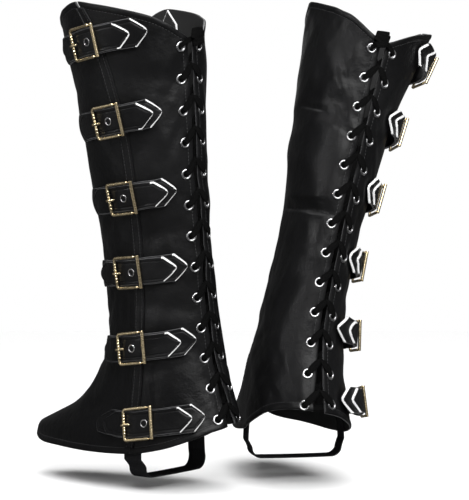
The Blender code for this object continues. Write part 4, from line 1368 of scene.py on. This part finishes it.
# The buckle's arms at the roller: places in front of where they stop short, lifts, in mm, and
# shares of the bar's thickness.
ARM_FORM = ((-0.8, -1.5, 0.3), (0, -1.2, 0.34), (0.12, -0.3, 0.8), (0.5, 0, 1.08), (1.2, 0, 1.04))
ARM_STEPS = 7
ARM_EVEN_FROM = 2.4 * MM
FRONT_STEPS = 39
BEND_SHARE = 0.75
BAR_HALF_THICKNESS = 0.46
# Half the roller: places in shares of its half length, and shares of its radius.
ROLLER_FORM = ((1.0, 0.72), (0.985, 0.95), (0.95, 1.0), (0.945, 0.94))
ROLLER_IN = 0.1 * MM
ROLLER_UP = 0.25 * MM
ROLLER_OVER_ARM = 0.45
# The prong's end over the front bar: places behind it, lifts and half thicknesses, in mm.
PRONG_FORM = (
    (-2.6, 0.7, 0.5),
    (-2.4, 0.9, 0.85),
    (-1.4, 1.2, 1.0),
    (0, 1.35, 1.0),
    (1.4, 1.2, 1.0),
    (3.0, 0.8, 1.0),
    (5.6, 0.55, 0.9),
    (6.3, 0.5, 0.7),
    (6.6, 0.5, 0.4),
)
PRONG_UP = 0.22
PRONG_WIDTH = 1.15
PRONG_THICKNESS = 0.8


def buckle_frame(metal, x_end, y_end, roller_x):
    """A buckle's bar: an arm, a corner, the banded front, a corner and the other arm."""
    bar, radius = metal.bar, BUCKLE_CORNER * BEND_SHARE
    corner_x, corner_y = radius - x_end, y_end - radius
    short = roller_x - metal.roller / 2 - ARM_STOPS_SHORT
    places, lifts, shares = np.array(ARM_FORM).T
    straight = np.linspace(short - ARM_EVEN_FROM, corner_x + MM, ARM_STEPS)
    arm_x = np.concatenate(((roller_x,), short - places * MM, straight))
    lifts = np.concatenate((lifts[:1], lifts, 0 * straight)) * MM
    turns = np.linspace(0, math.pi / 2, ARM_STEPS)
    arms = []
    for side in (1, -1):
        corner = np.array((corner_x, side * corner_y, 0))
        arc = corner + radius * np.stack((-np.sin(turns), side * np.cos(turns), 0 * turns), -1)
        arm = np.stack((arm_x, np.full(len(arm_x), side * y_end), lifts), -1)
        arms.append(np.concatenate((arm, arc)))
    front_y = np.linspace(corner_y, -corner_y, FRONT_STEPS + 2)[1:-1]
    front = np.stack((np.full(FRONT_STEPS, -x_end), front_y, np.zeros(FRONT_STEPS)), -1)
    from_band = np.abs(np.abs(front_y)[:, None] / MM - np.array(BUCKLE_BANDS)).min(1)
    bands = np.where(from_band < BUCKLE_BAND_HALF_WIDTH, BUCKLE_BAND_SWELL, 1.0)
    shares = np.concatenate((shares[:1], shares, np.ones(2 * ARM_STEPS)))
    fat = np.concatenate((shares, bands, shares[::-1]))[:, None]
    line = np.concatenate((arms[0], front, arms[1][::-1]))
    along = unit(np.gradient(line, axis=0))
    wide = unit(np.cross(UP, along))
    thick = np.cross(along, wide) * fat * bar * BAR_HALF_THICKNESS
    return swept(line, wide * fat * bar / 2, thick, rounded_profile(12, 0.75))


def buckle_form():
    """Points and faces of one buckle: a three-sided frame, a roller and the prong's end."""
    metal = bpy.context.scene.boot_cover_hardware
    bar = metal.bar
    x_end = (BUCKLE_LENGTH - bar) / 2
    y_end = (BUCKLE_WIDTH - bar) / 2
    roller_x = x_end - ROLLER_IN
    places, sizes = np.array(ROLLER_FORM).T
    roller_y = np.concatenate((-places, places[::-1])) * (y_end + bar * ROLLER_OVER_ARM)
    sizes = (np.concatenate((sizes, sizes[::-1])) * metal.roller / 2)[:, None]
    level = np.ones(len(roller_y))
    middles = np.stack((level * roller_x, roller_y, level * ROLLER_UP), -1)
    roller = swept(middles, EAST * sizes, UP * sizes, rounded_profile(16, 1.0))
    behind, lifts, fat = np.array(PRONG_FORM).T * MM
    middles = np.stack((behind - x_end, 0 * behind, lifts + bar * PRONG_UP), -1)
    fat = fat[:, None]
    wide, thick = NORTH * fat * PRONG_WIDTH, UP * fat * PRONG_THICKNESS
    prong = swept(middles, wide, thick, rounded_profile(10, 0.8))
    return joined([buckle_frame(metal, x_end, y_end, roller_x)[:2], roller[:2], prong[:2]])


def make_buckle(cover, number, form):
    """One buckle, which gives back the mesh of the ring in its window."""
    points, faces = form
    middle, rearwards, up, out, ring = buckle_place(cover, number)
    placed_points = middle + points @ np.stack((rearwards, up, out))
    if np.dot(np.cross(rearwards, up), out) < 0:
        faces = [face[::-1] for face in faces]
    label = f"{cover.name}_buckle_{number}"
    obj = new_piece(f"{label}_brass", placed_points, faces, ["brass"])
    keep_crisp(obj, BUCKLE_CRISP)
    finish_piece(obj, "brass", label)
    metal = bpy.context.scene.boot_cover_hardware
    outer = metal.ring_outer / 2
    inner = outer * RING_HOLE_SHARE
    return ring_mesh(ring, unit(out), up, outer, inner, STRAP_RING_DOME, STRAP_RING_BARREL)


RING_STEPS = 28
RING_OFF_CLOTH = 0.1 * MM
RING_HOLE_SHARE = 0.70
STRAP_RING_DOME = 0.4 * MM
STRAP_RING_BARREL = 0.7 * MM
# An eyelet is a ring on the outer face and a smaller one behind: how high their flanges are
# domed, and how far their barrels go in.
EYELET_DOME = 0.95 * MM
EYELET_BARREL = WALL + 0.4 * MM
EYELET_BACK_SHARE = 0.9
EYELET_BACK_DOME = 0.5 * MM
EYELET_BACK_BARREL = 0.4 * MM


def ring_mesh(middle, out, up, outer, inner, height, depth):
    """A pressed metal ring: domed flange, and a barrel that goes down inside."""
    turns = 2 * math.pi * np.arange(RING_STEPS) / RING_STEPS
    spokes = np.cos(turns)[:, None] * up + np.sin(turns)[:, None] * np.cross(out, up)
    dome = np.linspace(0, math.pi, 9)
    flange = (outer + inner) / 2 + (outer - inner) / 2 * np.cos(dome)
    radii = np.concatenate((flange, [inner, inner + 0.5 * MM, outer * 0.98]))
    lifts = np.concatenate((height * np.sin(dome) ** 0.8, [-depth, -depth, 0.0]))
    lifts[0] = -0.1 * MM
    points = middle + radii[None, :, None] * spokes[:, None] + lifts[None, :, None] * out
    rings = np.arange(RING_STEPS * len(radii)).reshape(RING_STEPS, len(radii))
    after = np.roll(rings, -1, 0)
    quads = np.stack((rings, np.roll(rings, -1, 1), np.roll(after, -1, 1), after), -1)
    points = points.reshape(-1, 3)
    faces = outward_faces(points - middle, quads.reshape(-1, 4))
    return points, faces


def make_eyelets(cover):
    metal = bpy.context.scene.boot_cover_hardware
    outer, inner = metal.eyelet_outer / 2, metal.eyelet_inner / 2
    parts = []
    heights = eyelet_heights()
    for side in (1, -1):
        angle = cover.lacing_angle(heights, side * lacing_mm("half_spacing", heights))
        middles, outs, _, ups = cover.directions(angle, heights)
        for middle, out, up in zip(middles, outs, ups):
            up = unit(up - out * up.dot(out))
            front = middle + out * RING_OFF_CLOTH
            back = middle - out * (WALL + RING_OFF_CLOTH)
            parts.append(ring_mesh(front, out, up, outer, inner, EYELET_DOME, EYELET_BARREL))
            size = (outer * EYELET_BACK_SHARE, inner)
            parts.append(ring_mesh(back, -out, up, *size, EYELET_BACK_DOME, EYELET_BACK_BARREL))
    points, faces = joined(parts)
    obj = new_piece(f"{cover.name}_eyelets", points, faces, ["steel"])
    keep_crisp(obj, EYELET_CRISP)
    finish_piece(obj, "brass")


# The lace through an eyelet, from inside out: share of the eyelet's distance, rise and half
# width in mm.
LACE_THROUGH = ((1.0, -1.3, 1.7), (1.0, -0.2, 1.9), (0.985, 1.2, 2.0))
LACE_AT_EYELET = 0.95
# The lace on its way up to a crossing: share of the way, lift in shares of what it lies at
# outside, and half width in mm. Then its way on behind: share of the way and half width.
LACE_RISING = ((0.12, 1.5, 2.7), (0.3, 1.6, 3.2), (0.55, 1.4, 3.3), (0.76, 1.1, 2.7), (0.9, 0.7, 1.5))
LACE_BEYOND = ((0.12, 1.3), (0.3, 2.9))
LACE_CLEAR_OUTSIDE = 0.45 * MM
LACE_CLEAR_INSIDE = 1.1 * MM
LACE_BAR_HALF_WIDTH = 2.8 * MM
LACE_CROSSING_HALF_WIDTH = 0.9 * MM
LACE_FLAT_OVER = 0.55
# The lace's two ends on their way into the knot: share of the way, rise, lift and half width
# in mm.
LACE_INTO_KNOT = ((1 / 3, 3.5, 1.9, 2.6), (2 / 3, 6.0, 2.6, 2.4), (1, 8.0, 3.2, 2.2))
KNOT_AT = -3.5 * MM


def lace_route(side_at_start):
    """One half of the lace, bottom to top: (distance, height, lift, half width)."""
    lace = bpy.context.scene.boot_cover_lace
    outside = lace.thickness / 2 + LACE_CLEAR_OUTSIDE
    inside = -WALL - lace.thickness / 2 - LACE_CLEAR_INSIDE
    heights = eyelet_heights()
    spacing = lacing_mm("half_spacing", heights)
    keys = []
    for row, height in enumerate(heights):
        side = side_at_start * (-1) ** row
        reach = spacing[row] * side
        lifts = (inside, -WALL / 2, outside * LACE_AT_EYELET)
        for (share, rise, half), lift in zip(LACE_THROUGH, lifts):
            keys.append((reach * share, height + rise * MM, lift, half * MM))
        if row == EYELETS - 1:
            break
        half_pitch = EYELET_PITCH / 2
        for share, lifted, half in LACE_RISING:
            keys.append((reach * (1 - share), height + half_pitch * share, outside * lifted, half * MM))
        keys.append((0.0, height + half_pitch, -WALL / 2, LACE_CROSSING_HALF_WIDTH))
        beyond = -spacing[row + 1] * side
        for share, half in LACE_BEYOND:
            keys.append((beyond * share, height + half_pitch * (1 + share), inside, half * MM))
    return keys


def smooth_line(keys, steps, places=None):
    """Keys joined by a smooth curve through each, with some steps from key to key."""
    keys = np.asarray(keys, float)
    count = len(keys)
    if places is None:
        places = np.arange(count, dtype=float)
    fine = np.interp(np.linspace(0, count - 1, (count - 1) * steps + 1), np.arange(count), places)
    return np.stack([curve_through(places, keys[:, k], fine) for k in range(keys.shape[1])], -1)


def lace_mesh(cover, keys):
    """A length of lace along its keys: flat on the cloth, and on edge where it goes through it."""
    lace = bpy.context.scene.boot_cover_lace
    line = smooth_line(keys, 6)
    distance, height, lift, half = line.T
    middles, outs, _, ups = cover.directions(cover.lacing_angle(height, distance), height)
    middles = middles + outs * lift[:, None]
    along = unit(np.gradient(middles, axis=0))
    wide = np.cross(outs, along)
    size = np.linalg.norm(wide, axis=-1, keepdims=True)
    upright = ups - along * (ups * along).sum(-1, keepdims=True)
    wide = unit(np.where(size > LACE_FLAT_OVER, wide, unit(upright)))
    for k in range(1, len(wide)):
        if wide[k].dot(wide[k - 1]) < 0:
            wide[k] = -wide[k]
    for _ in range(3):
        wide[1:-1] = unit(wide[:-2] + 2 * wide[1:-1] + wide[2:])
    wide = unit(wide - along * (wide * along).sum(-1, keepdims=True))
    thick = np.cross(along, wide)
    profile = rounded_profile(14, 0.5)
    return swept(middles, wide * half[:, None], thick * (lace.thickness / 2), profile)


def make_lace(cover):
    """The lace of one cover: two halves crossing in the gap, a bar below and a knot above."""
    meshes = []
    for start in (1, -1):
        keys = lace_route(start)
        if start == 1:
            distance, height, lift, half = keys[0]
            bar = [(-distance, height + 0.5 * MM, lift - 0.2 * MM, half * 1.1)]
            for share in (-0.6, 0.0, 0.6):
                bar.append((distance * share, height, lift - 0.3 * MM, LACE_BAR_HALF_WIDTH))
            keys = bar + keys
        distance, height = keys[-1][:2]
        for share, rise, lift, half in LACE_INTO_KNOT:
            sideways = distance + (KNOT_AT - distance) * share
            keys.append((sideways, height + rise * MM, lift * MM, half * MM))
        meshes.append(lace_mesh(cover, keys))
    meshes += knot_meshes(cover)
    points, faces = joined([mesh[:2] for mesh in meshes])
    uvs = np.concatenate([mesh[2] for mesh in meshes])
    obj = new_piece(f"{cover.name}_lace_band", points, faces, ["lace"], uvs=uvs)
    finish_piece(obj, "lace", f"{cover.name}_lace")


# The knot's wraps, each a closed loop of lace: its middle across and up from the knot's middle,
# half its size across, its band's half width, half its size out, and its turn about the way
# out, in mm and degrees. The sizes are then drawn in by the shares below.
KNOT_COLUMNS = ("across", "up", "half_across", "half_band", "half_out", "turn")
KNOT_WRAPS = (
    (0.0, 2.6, 9.0, 5.4, 3.0, 6.0),
    (-1.0, -3.6, 8.2, 5.2, 3.2, -16.0),
    (1.6, -0.6, 6.4, 6.8, 2.6, 38.0),
    (0.2, 5.8, 7.6, 3.6, 2.3, -8.0),
)
KNOT_ACROSS_SHARE = 0.75
KNOT_BAND_SHARE = 0.62
KNOT_HALF_THICKNESS = 0.55
# The core that the wraps go round: half its size up, across and out, in mm.
KNOT_CORE = (6.0, 4.2, 2.2)
KNOT_OVER_TOP_EYELET = 9.0 * MM
KNOT_TO_INNER = 4.6 * MM
KNOT_LIFT = 4.2 * MM


def knot_meshes(cover):
    """A pulled-tight knot, as wraps of the lace round one another."""
    lace = bpy.context.scene.boot_cover_lace
    height = np.array([eyelet_heights()[-1] + KNOT_OVER_TOP_EYELET])
    angle = cover.lacing_angle(height, -KNOT_TO_INNER)
    middle, out, _, up = (value[0] for value in cover.directions(angle, height))
    up = unit(up - out * up.dot(out))
    across = np.cross(out, up)
    middle = middle + out * KNOT_LIFT
    made = []
    profile = rounded_profile(14, 0.5)
    turns = np.linspace(0, 2 * math.pi, 33)[:, None]
    for row in KNOT_WRAPS:
        wrap = dict(zip(KNOT_COLUMNS, row))
        turn = math.radians(wrap["turn"])
        first = across * math.cos(turn) + up * math.sin(turn)
        second = up * math.cos(turn) - across * math.sin(turn)
        centre = middle + (across * wrap["across"] + up * wrap["up"]) * MM
        line = centre + first * np.cos(turns) * wrap["half_across"] * MM * KNOT_ACROSS_SHARE
        line = line + out * np.sin(turns) * wrap["half_out"] * MM
        along = unit(np.gradient(line, axis=0))
        along[0] = along[-1] = unit(along[0] + along[-1])
        wide = np.broadcast_to(second, along.shape) * wrap["half_band"] * MM * KNOT_BAND_SHARE
        thick = unit(np.cross(along, wide)) * lace.thickness * KNOT_HALF_THICKNESS
        made.append(swept(line[:-1], wide[:-1], thick[:-1], profile, closed=True))
    turns = np.linspace(-0.5 * math.pi, 0.5 * math.pi, 9)
    half_up, half_across, half_out = KNOT_CORE
    core = middle + up * (np.sin(turns) * half_up * MM)[:, None]
    sizes = np.maximum(np.cos(turns), 0.15)[:, None]
    wide, thick = across * sizes * half_across * MM, out * sizes * half_out * MM
    made.append(swept(core, wide, thick, rounded_profile(14, 0.8)))
    return made


def stirrup_route(cover):
    """Middles of the elastic: inside the hem, down, under the arch and up the other side."""
    inside = WALL + STIRRUP_THICKNESS / 2 + STIRRUP_CLEAR

    def wall_point(angle, height):
        return cover.point(np.array([angle]), np.array([height]), -inside)[0]

    outer_top = wall_point(STIRRUP_ANGLE, STIRRUP_INSIDE_TO)
    outer_low = wall_point(STIRRUP_ANGLE, STIRRUP_HEM_LEVEL)
    inner_top = wall_point(-STIRRUP_ANGLE, STIRRUP_INSIDE_TO)
    inner_low = wall_point(-STIRRUP_ANGLE, STIRRUP_HEM_LEVEL)
    bottom = cover.base + UP * STIRRUP_BOTTOM
    half = np.linalg.norm(outer_low - inner_low) / 2 - STIRRUP_NARROWS
    turns = np.linspace(0, math.pi / 2, 4)
    across = half - STIRRUP_CORNER + STIRRUP_CORNER * np.cos(turns)
    up = STIRRUP_CORNER * (1 - np.sin(turns))
    corner = bottom + across[:, None] * cover.outward + up[:, None] * UP
    far_corner = bottom - across[::-1, None] * cover.outward + up[::-1, None] * UP
    outer_middle = (outer_low + corner[0]) / 2
    inner_middle = (inner_low + far_corner[-1]) / 2
    down = [outer_top, outer_low, outer_middle]
    return np.concatenate((down, corner, far_corner, [inner_middle, inner_low, inner_top]))


def make_stirrup(cover):
    keys = stirrup_route(cover)
    line = smooth_line(keys, 14, distances_along(keys))
    along = unit(np.gradient(line, axis=0))
    thick = unit(np.cross(along, cover.toeward))
    wide = np.broadcast_to(cover.toeward, along.shape)
    across = np.linspace(-1, 1, STIRRUP_RIBS * 4 + 1)
    relief = STIRRUP_RELIEF * np.cos(across * math.pi * STIRRUP_RIBS)
    edge = STIRRUP_EDGE_FALL * np.clip((np.abs(across) - 0.94) / 0.06, 0, 1) ** 2
    half = STIRRUP_THICKNESS / 2 + relief - edge
    middle_rows = line[:, None] + wide[:, None] * (across[None, :, None] * STIRRUP_WIDTH / 2)
    outer = middle_rows + thick[:, None] * half[None, :, None]
    inner = middle_rows - thick[:, None] * half[None, :, None]
    points, faces, _ = two_faced(outer, inner)
    walked = distances_along(line)
    layer = np.stack(np.broadcast_arrays(across[None, :], walked[:, None]), -1).reshape(-1, 2)
    uvs = np.concatenate((layer, layer))
    obj = new_piece(f"{cover.name}_stirrup_elastic", points, faces, ["elastic"], uvs=uvs)
    finish_piece(obj, "elastic", f"{cover.name}_stirrup")


def covers():
    return [Cover(name) for name in COVERS]


class PanelsOperator(bpy.types.Operator):
    """Builds the outer and the front panel of each cover, with folds, turned edges and holes"""

    bl_idname = "boot_covers.panels"
    bl_label = "Panels"

    def execute(self, context):
        for cover in covers():
            for kind in EVEN_COLUMNS:
                make_panel(cover, kind)
        return {"FINISHED"}


class SeamsOperator(bpy.types.Operator):
    """Builds the plackets, the stitching on the panels and the facing strip inside the top"""

    bl_idname = "boot_covers.seams"
    bl_label = "Plackets and stitching"

    def execute(self, context):
        for cover in covers():
            make_placket(cover)
            make_seams(cover)
            make_inner_tab(cover)
        return {"FINISHED"}


class StrapsOperator(bpy.types.Operator):
    """Builds the under straps and the tongues that lie on them"""

    bl_idname = "boot_covers.straps"
    bl_label = "Straps"

    def execute(self, context):
        over = SIT + UNDER_STRAP["thickness"] * MM + SEAM
        for cover in covers():
            for number in range(1, len(STRAPS) + 1):
                make_strap(cover, number, UNDER_STRAP, "under_strap", SIT)
                make_strap(cover, number, TONGUE, "tongue", over)
        return {"FINISHED"}


class BucklesOperator(bpy.types.Operator):
    """Builds the roller buckles, and the ring in each buckle's window"""

    bl_idname = "boot_covers.buckles"
    bl_label = "Buckles"

    def execute(self, context):
        form = buckle_form()
        for cover in covers():
            rings = [make_buckle(cover, number, form) for number in range(1, len(STRAPS) + 1)]
            points, faces = joined(rings)
            obj = new_piece(f"{cover.name}_strap_rings", points, faces, ["steel"])
            finish_piece(obj, "brass")
        return {"FINISHED"}


class EyeletsOperator(bpy.types.Operator):
    """Builds the pressed metal eyelets of the lacing"""

    bl_idname = "boot_covers.eyelets"
    bl_label = "Eyelets"

    def execute(self, context):
        for cover in covers():
            make_eyelets(cover)
        return {"FINISHED"}


class LacesOperator(bpy.types.Operator):
    """Builds the flat laces, from the bar at the bottom to the knot at the top"""

    bl_idname = "boot_covers.laces"
    bl_label = "Laces"

    def execute(self, context):
        for cover in covers():
            make_lace(cover)
        return {"FINISHED"}


class StirrupsOperator(bpy.types.Operator):
    """Builds the elastic that goes under the arch of each foot"""

    bl_idname = "boot_covers.stirrups"
    bl_label = "Stirrups"

    def execute(self, context):
        for cover in covers():
            make_stirrup(cover)
        return {"FINISHED"}


# The middle of the photographed view, and its focal length in its own pixels.
VIEW_MIDDLE = Vector((3.5, -8.0, 91.0)) * MM
FOCAL_PIXELS = 1157.9
IMAGE_PIXELS = (469, 500)
SENSOR = 36.0 * MM
FLOOR_REACH = 6.0


def make_camera(stage):
    data = bpy.data.cameras.new("camera")
    data.sensor_fit = "VERTICAL"
    data.sensor_height = SENSOR / MM
    data.sensor_width = SENSOR / MM
    data.lens = SENSOR / MM * FOCAL_PIXELS / IMAGE_PIXELS[1]
    camera = placed("camera", data)
    pitch = stage.raised
    back = Vector((0, -math.cos(pitch), -math.sin(pitch)))
    camera.location = VIEW_MIDDLE + back * stage.distance
    camera.rotation_mode = "QUATERNION"
    camera.rotation_quaternion = (-back).to_track_quat("-Z", "Y")
    bpy.context.scene.camera = camera


# Soft boxes: name, place, the point it faces, its width and height in metres, its power as
# a share of the key or side light.
LIGHTS = (
    ("key", (0.28, -1.2, 0.92), (0.0, 0.0, 0.22), 1.3, 0.9, "key", 1.0),
    ("left_strip", (-1.25, -0.55, 0.25), (-0.05, 0.0, 0.1), 0.35, 1.3, "fill", 1.0),
    ("right_strip", (1.25, -0.75, 0.3), (0.05, 0.0, 0.1), 0.35, 1.3, "fill", 0.5),
    ("back", (0.2, 1.4, 0.9), (0.0, 0.0, 0.15), 1.2, 0.7, "fill", 1.2),
)
OVERHEAD_SPREAD = math.radians(70)
SPOT_PLACE = (-1.25, -0.90, 0.60)
SPOT_AIM = (0.09, 0.0, 0.21)
SPOT_CONE = math.radians(6.6)
SPOT_RADIUS = 0.25


def turn_to(light, place, aim):
    light.location = place
    light.rotation_mode = "QUATERNION"
    light.rotation_quaternion = (Vector(aim) - Vector(place)).to_track_quat("-Z", "Y")


def make_lights(stage):
    powers = {"key": stage.key, "fill": stage.fill}
    for name, place, aim, width, height, kind, share in LIGHTS:
        data = bpy.data.lights.new(name, "AREA")
        data.shape = "RECTANGLE"
        data.size = width
        data.size_y = height
        data.energy = powers[kind] * share
        light = placed(name, data)
        turn_to(light, place, aim)
        light.visible_camera = False
    spot = bpy.data.lights.new("spot", "SPOT")
    spot.energy = stage.spot
    spot.spot_size = SPOT_CONE
    spot.spot_blend = 1.0
    spot.shadow_soft_size = SPOT_RADIUS
    turn_to(placed("spot", spot), SPOT_PLACE, SPOT_AIM)
    overhead = bpy.data.lights.new("overhead", "SUN")
    overhead.energy = stage.overhead
    overhead.angle = OVERHEAD_SPREAD
    placed("overhead", overhead)


def make_surroundings(stage):
    """White all round as the camera sees it, and a dimmer white for what the object reflects."""
    world = bpy.data.worlds.new("white_studio")
    bpy.context.scene.world = world
    world.use_nodes = True
    tree = world.node_tree
    shown = tree.nodes["Background"]
    dim = tree.nodes.new("ShaderNodeBackground")
    for background, strength in ((shown, 1.0), (dim, stage.sky)):
        background.inputs["Color"].default_value = (1, 1, 1, 1)
        background.inputs["Strength"].default_value = strength
    path = tree.nodes.new("ShaderNodeLightPath")
    mix = tree.nodes.new("ShaderNodeMixShader")
    tree.links.new(path.outputs["Is Camera Ray"], mix.inputs["Fac"])
    tree.links.new(dim.outputs["Background"], mix.inputs[1])
    tree.links.new(shown.outputs["Background"], mix.inputs[2])
    tree.links.new(mix.outputs["Shader"], tree.nodes["World Output"].inputs["Surface"])


def make_floor(stage):
    mesh = bpy.data.meshes.new("floor")
    corners = [(FLOOR_REACH * x, FLOOR_REACH * y) for x, y in ((-1, -1), (1, -1), (1, 1), (-1, 1))]
    mesh.from_pydata([(x, y, -FLOOR_BELOW) for x, y in corners], [], [(0, 1, 2, 3)])
    nodes = Nodes("floor_paint", tuple(stage.floor), 0.7)
    mottle = nodes.noise(object_place(nodes), 30.0)
    nodes.link(nodes.spread(mottle, 0.65, 0.75), "Roughness")
    mesh.materials.append(nodes.material)
    floor = placed("floor", mesh)
    floor.visible_glossy = False


class StageOperator(bpy.types.Operator):
    """Sets the floor, the surroundings, the soft lights and the camera"""

    bl_idname = "boot_covers.stage"
    bl_label = "Stage"

    def execute(self, context):
        stage = context.scene.boot_cover_stage
        make_camera(stage)
        make_floor(stage)
        make_surroundings(stage)
        make_lights(stage)
        context.scene.view_settings.view_transform = "Standard"
        return {"FINISHED"}


OPERATORS = (
    StageOperator,
    PanelsOperator,
    SeamsOperator,
    StrapsOperator,
    BucklesOperator,
    EyeletsOperator,
    LacesOperator,
    StirrupsOperator,
)
SETTINGS = {
    "boot_cover_cloth": ClothSettings,
    "boot_cover_hardware": HardwareSettings,
    "boot_cover_lace": LaceSettings,
    "boot_cover_stage": StageSettings,
}


class BootCoversPanel(bpy.types.Panel):
    """Lists the settings and the pieces"""

    bl_idname = "VIEW3D_PT_boot_covers"
    bl_label = "Boot covers"
    bl_space_type = "VIEW_3D"
    bl_region_type = "UI"
    bl_category = "Boot covers"

    def draw(self, context):
        for name in SETTINGS:
            box = self.layout.box()
            group = getattr(context.scene, name)
            for key in group.bl_rna.properties.keys():
                if key not in ("rna_type", "name"):
                    box.prop(group, key)
        for operator in OPERATORS:
            self.layout.operator(operator.bl_idname)


def register():
    for group in SETTINGS.values():
        bpy.utils.register_class(group)
    for name, group in SETTINGS.items():
        setattr(bpy.types.Scene, name, PointerProperty(type=group))
    for operator in OPERATORS:
        bpy.utils.register_class(operator)
    bpy.utils.register_class(BootCoversPanel)


def unregister():
    bpy.utils.unregister_class(BootCoversPanel)
    for operator in reversed(OPERATORS):
        bpy.utils.unregister_class(operator)
    for name in SETTINGS:
        delattr(bpy.types.Scene, name)
    for group in reversed(SETTINGS.values()):
        bpy.utils.unregister_class(group)


def main():
    register()
    for operator in OPERATORS:
        group, name = operator.bl_idname.split(".")
        getattr(getattr(bpy.ops, group), name)()


if __name__ == "__main__":
    main()
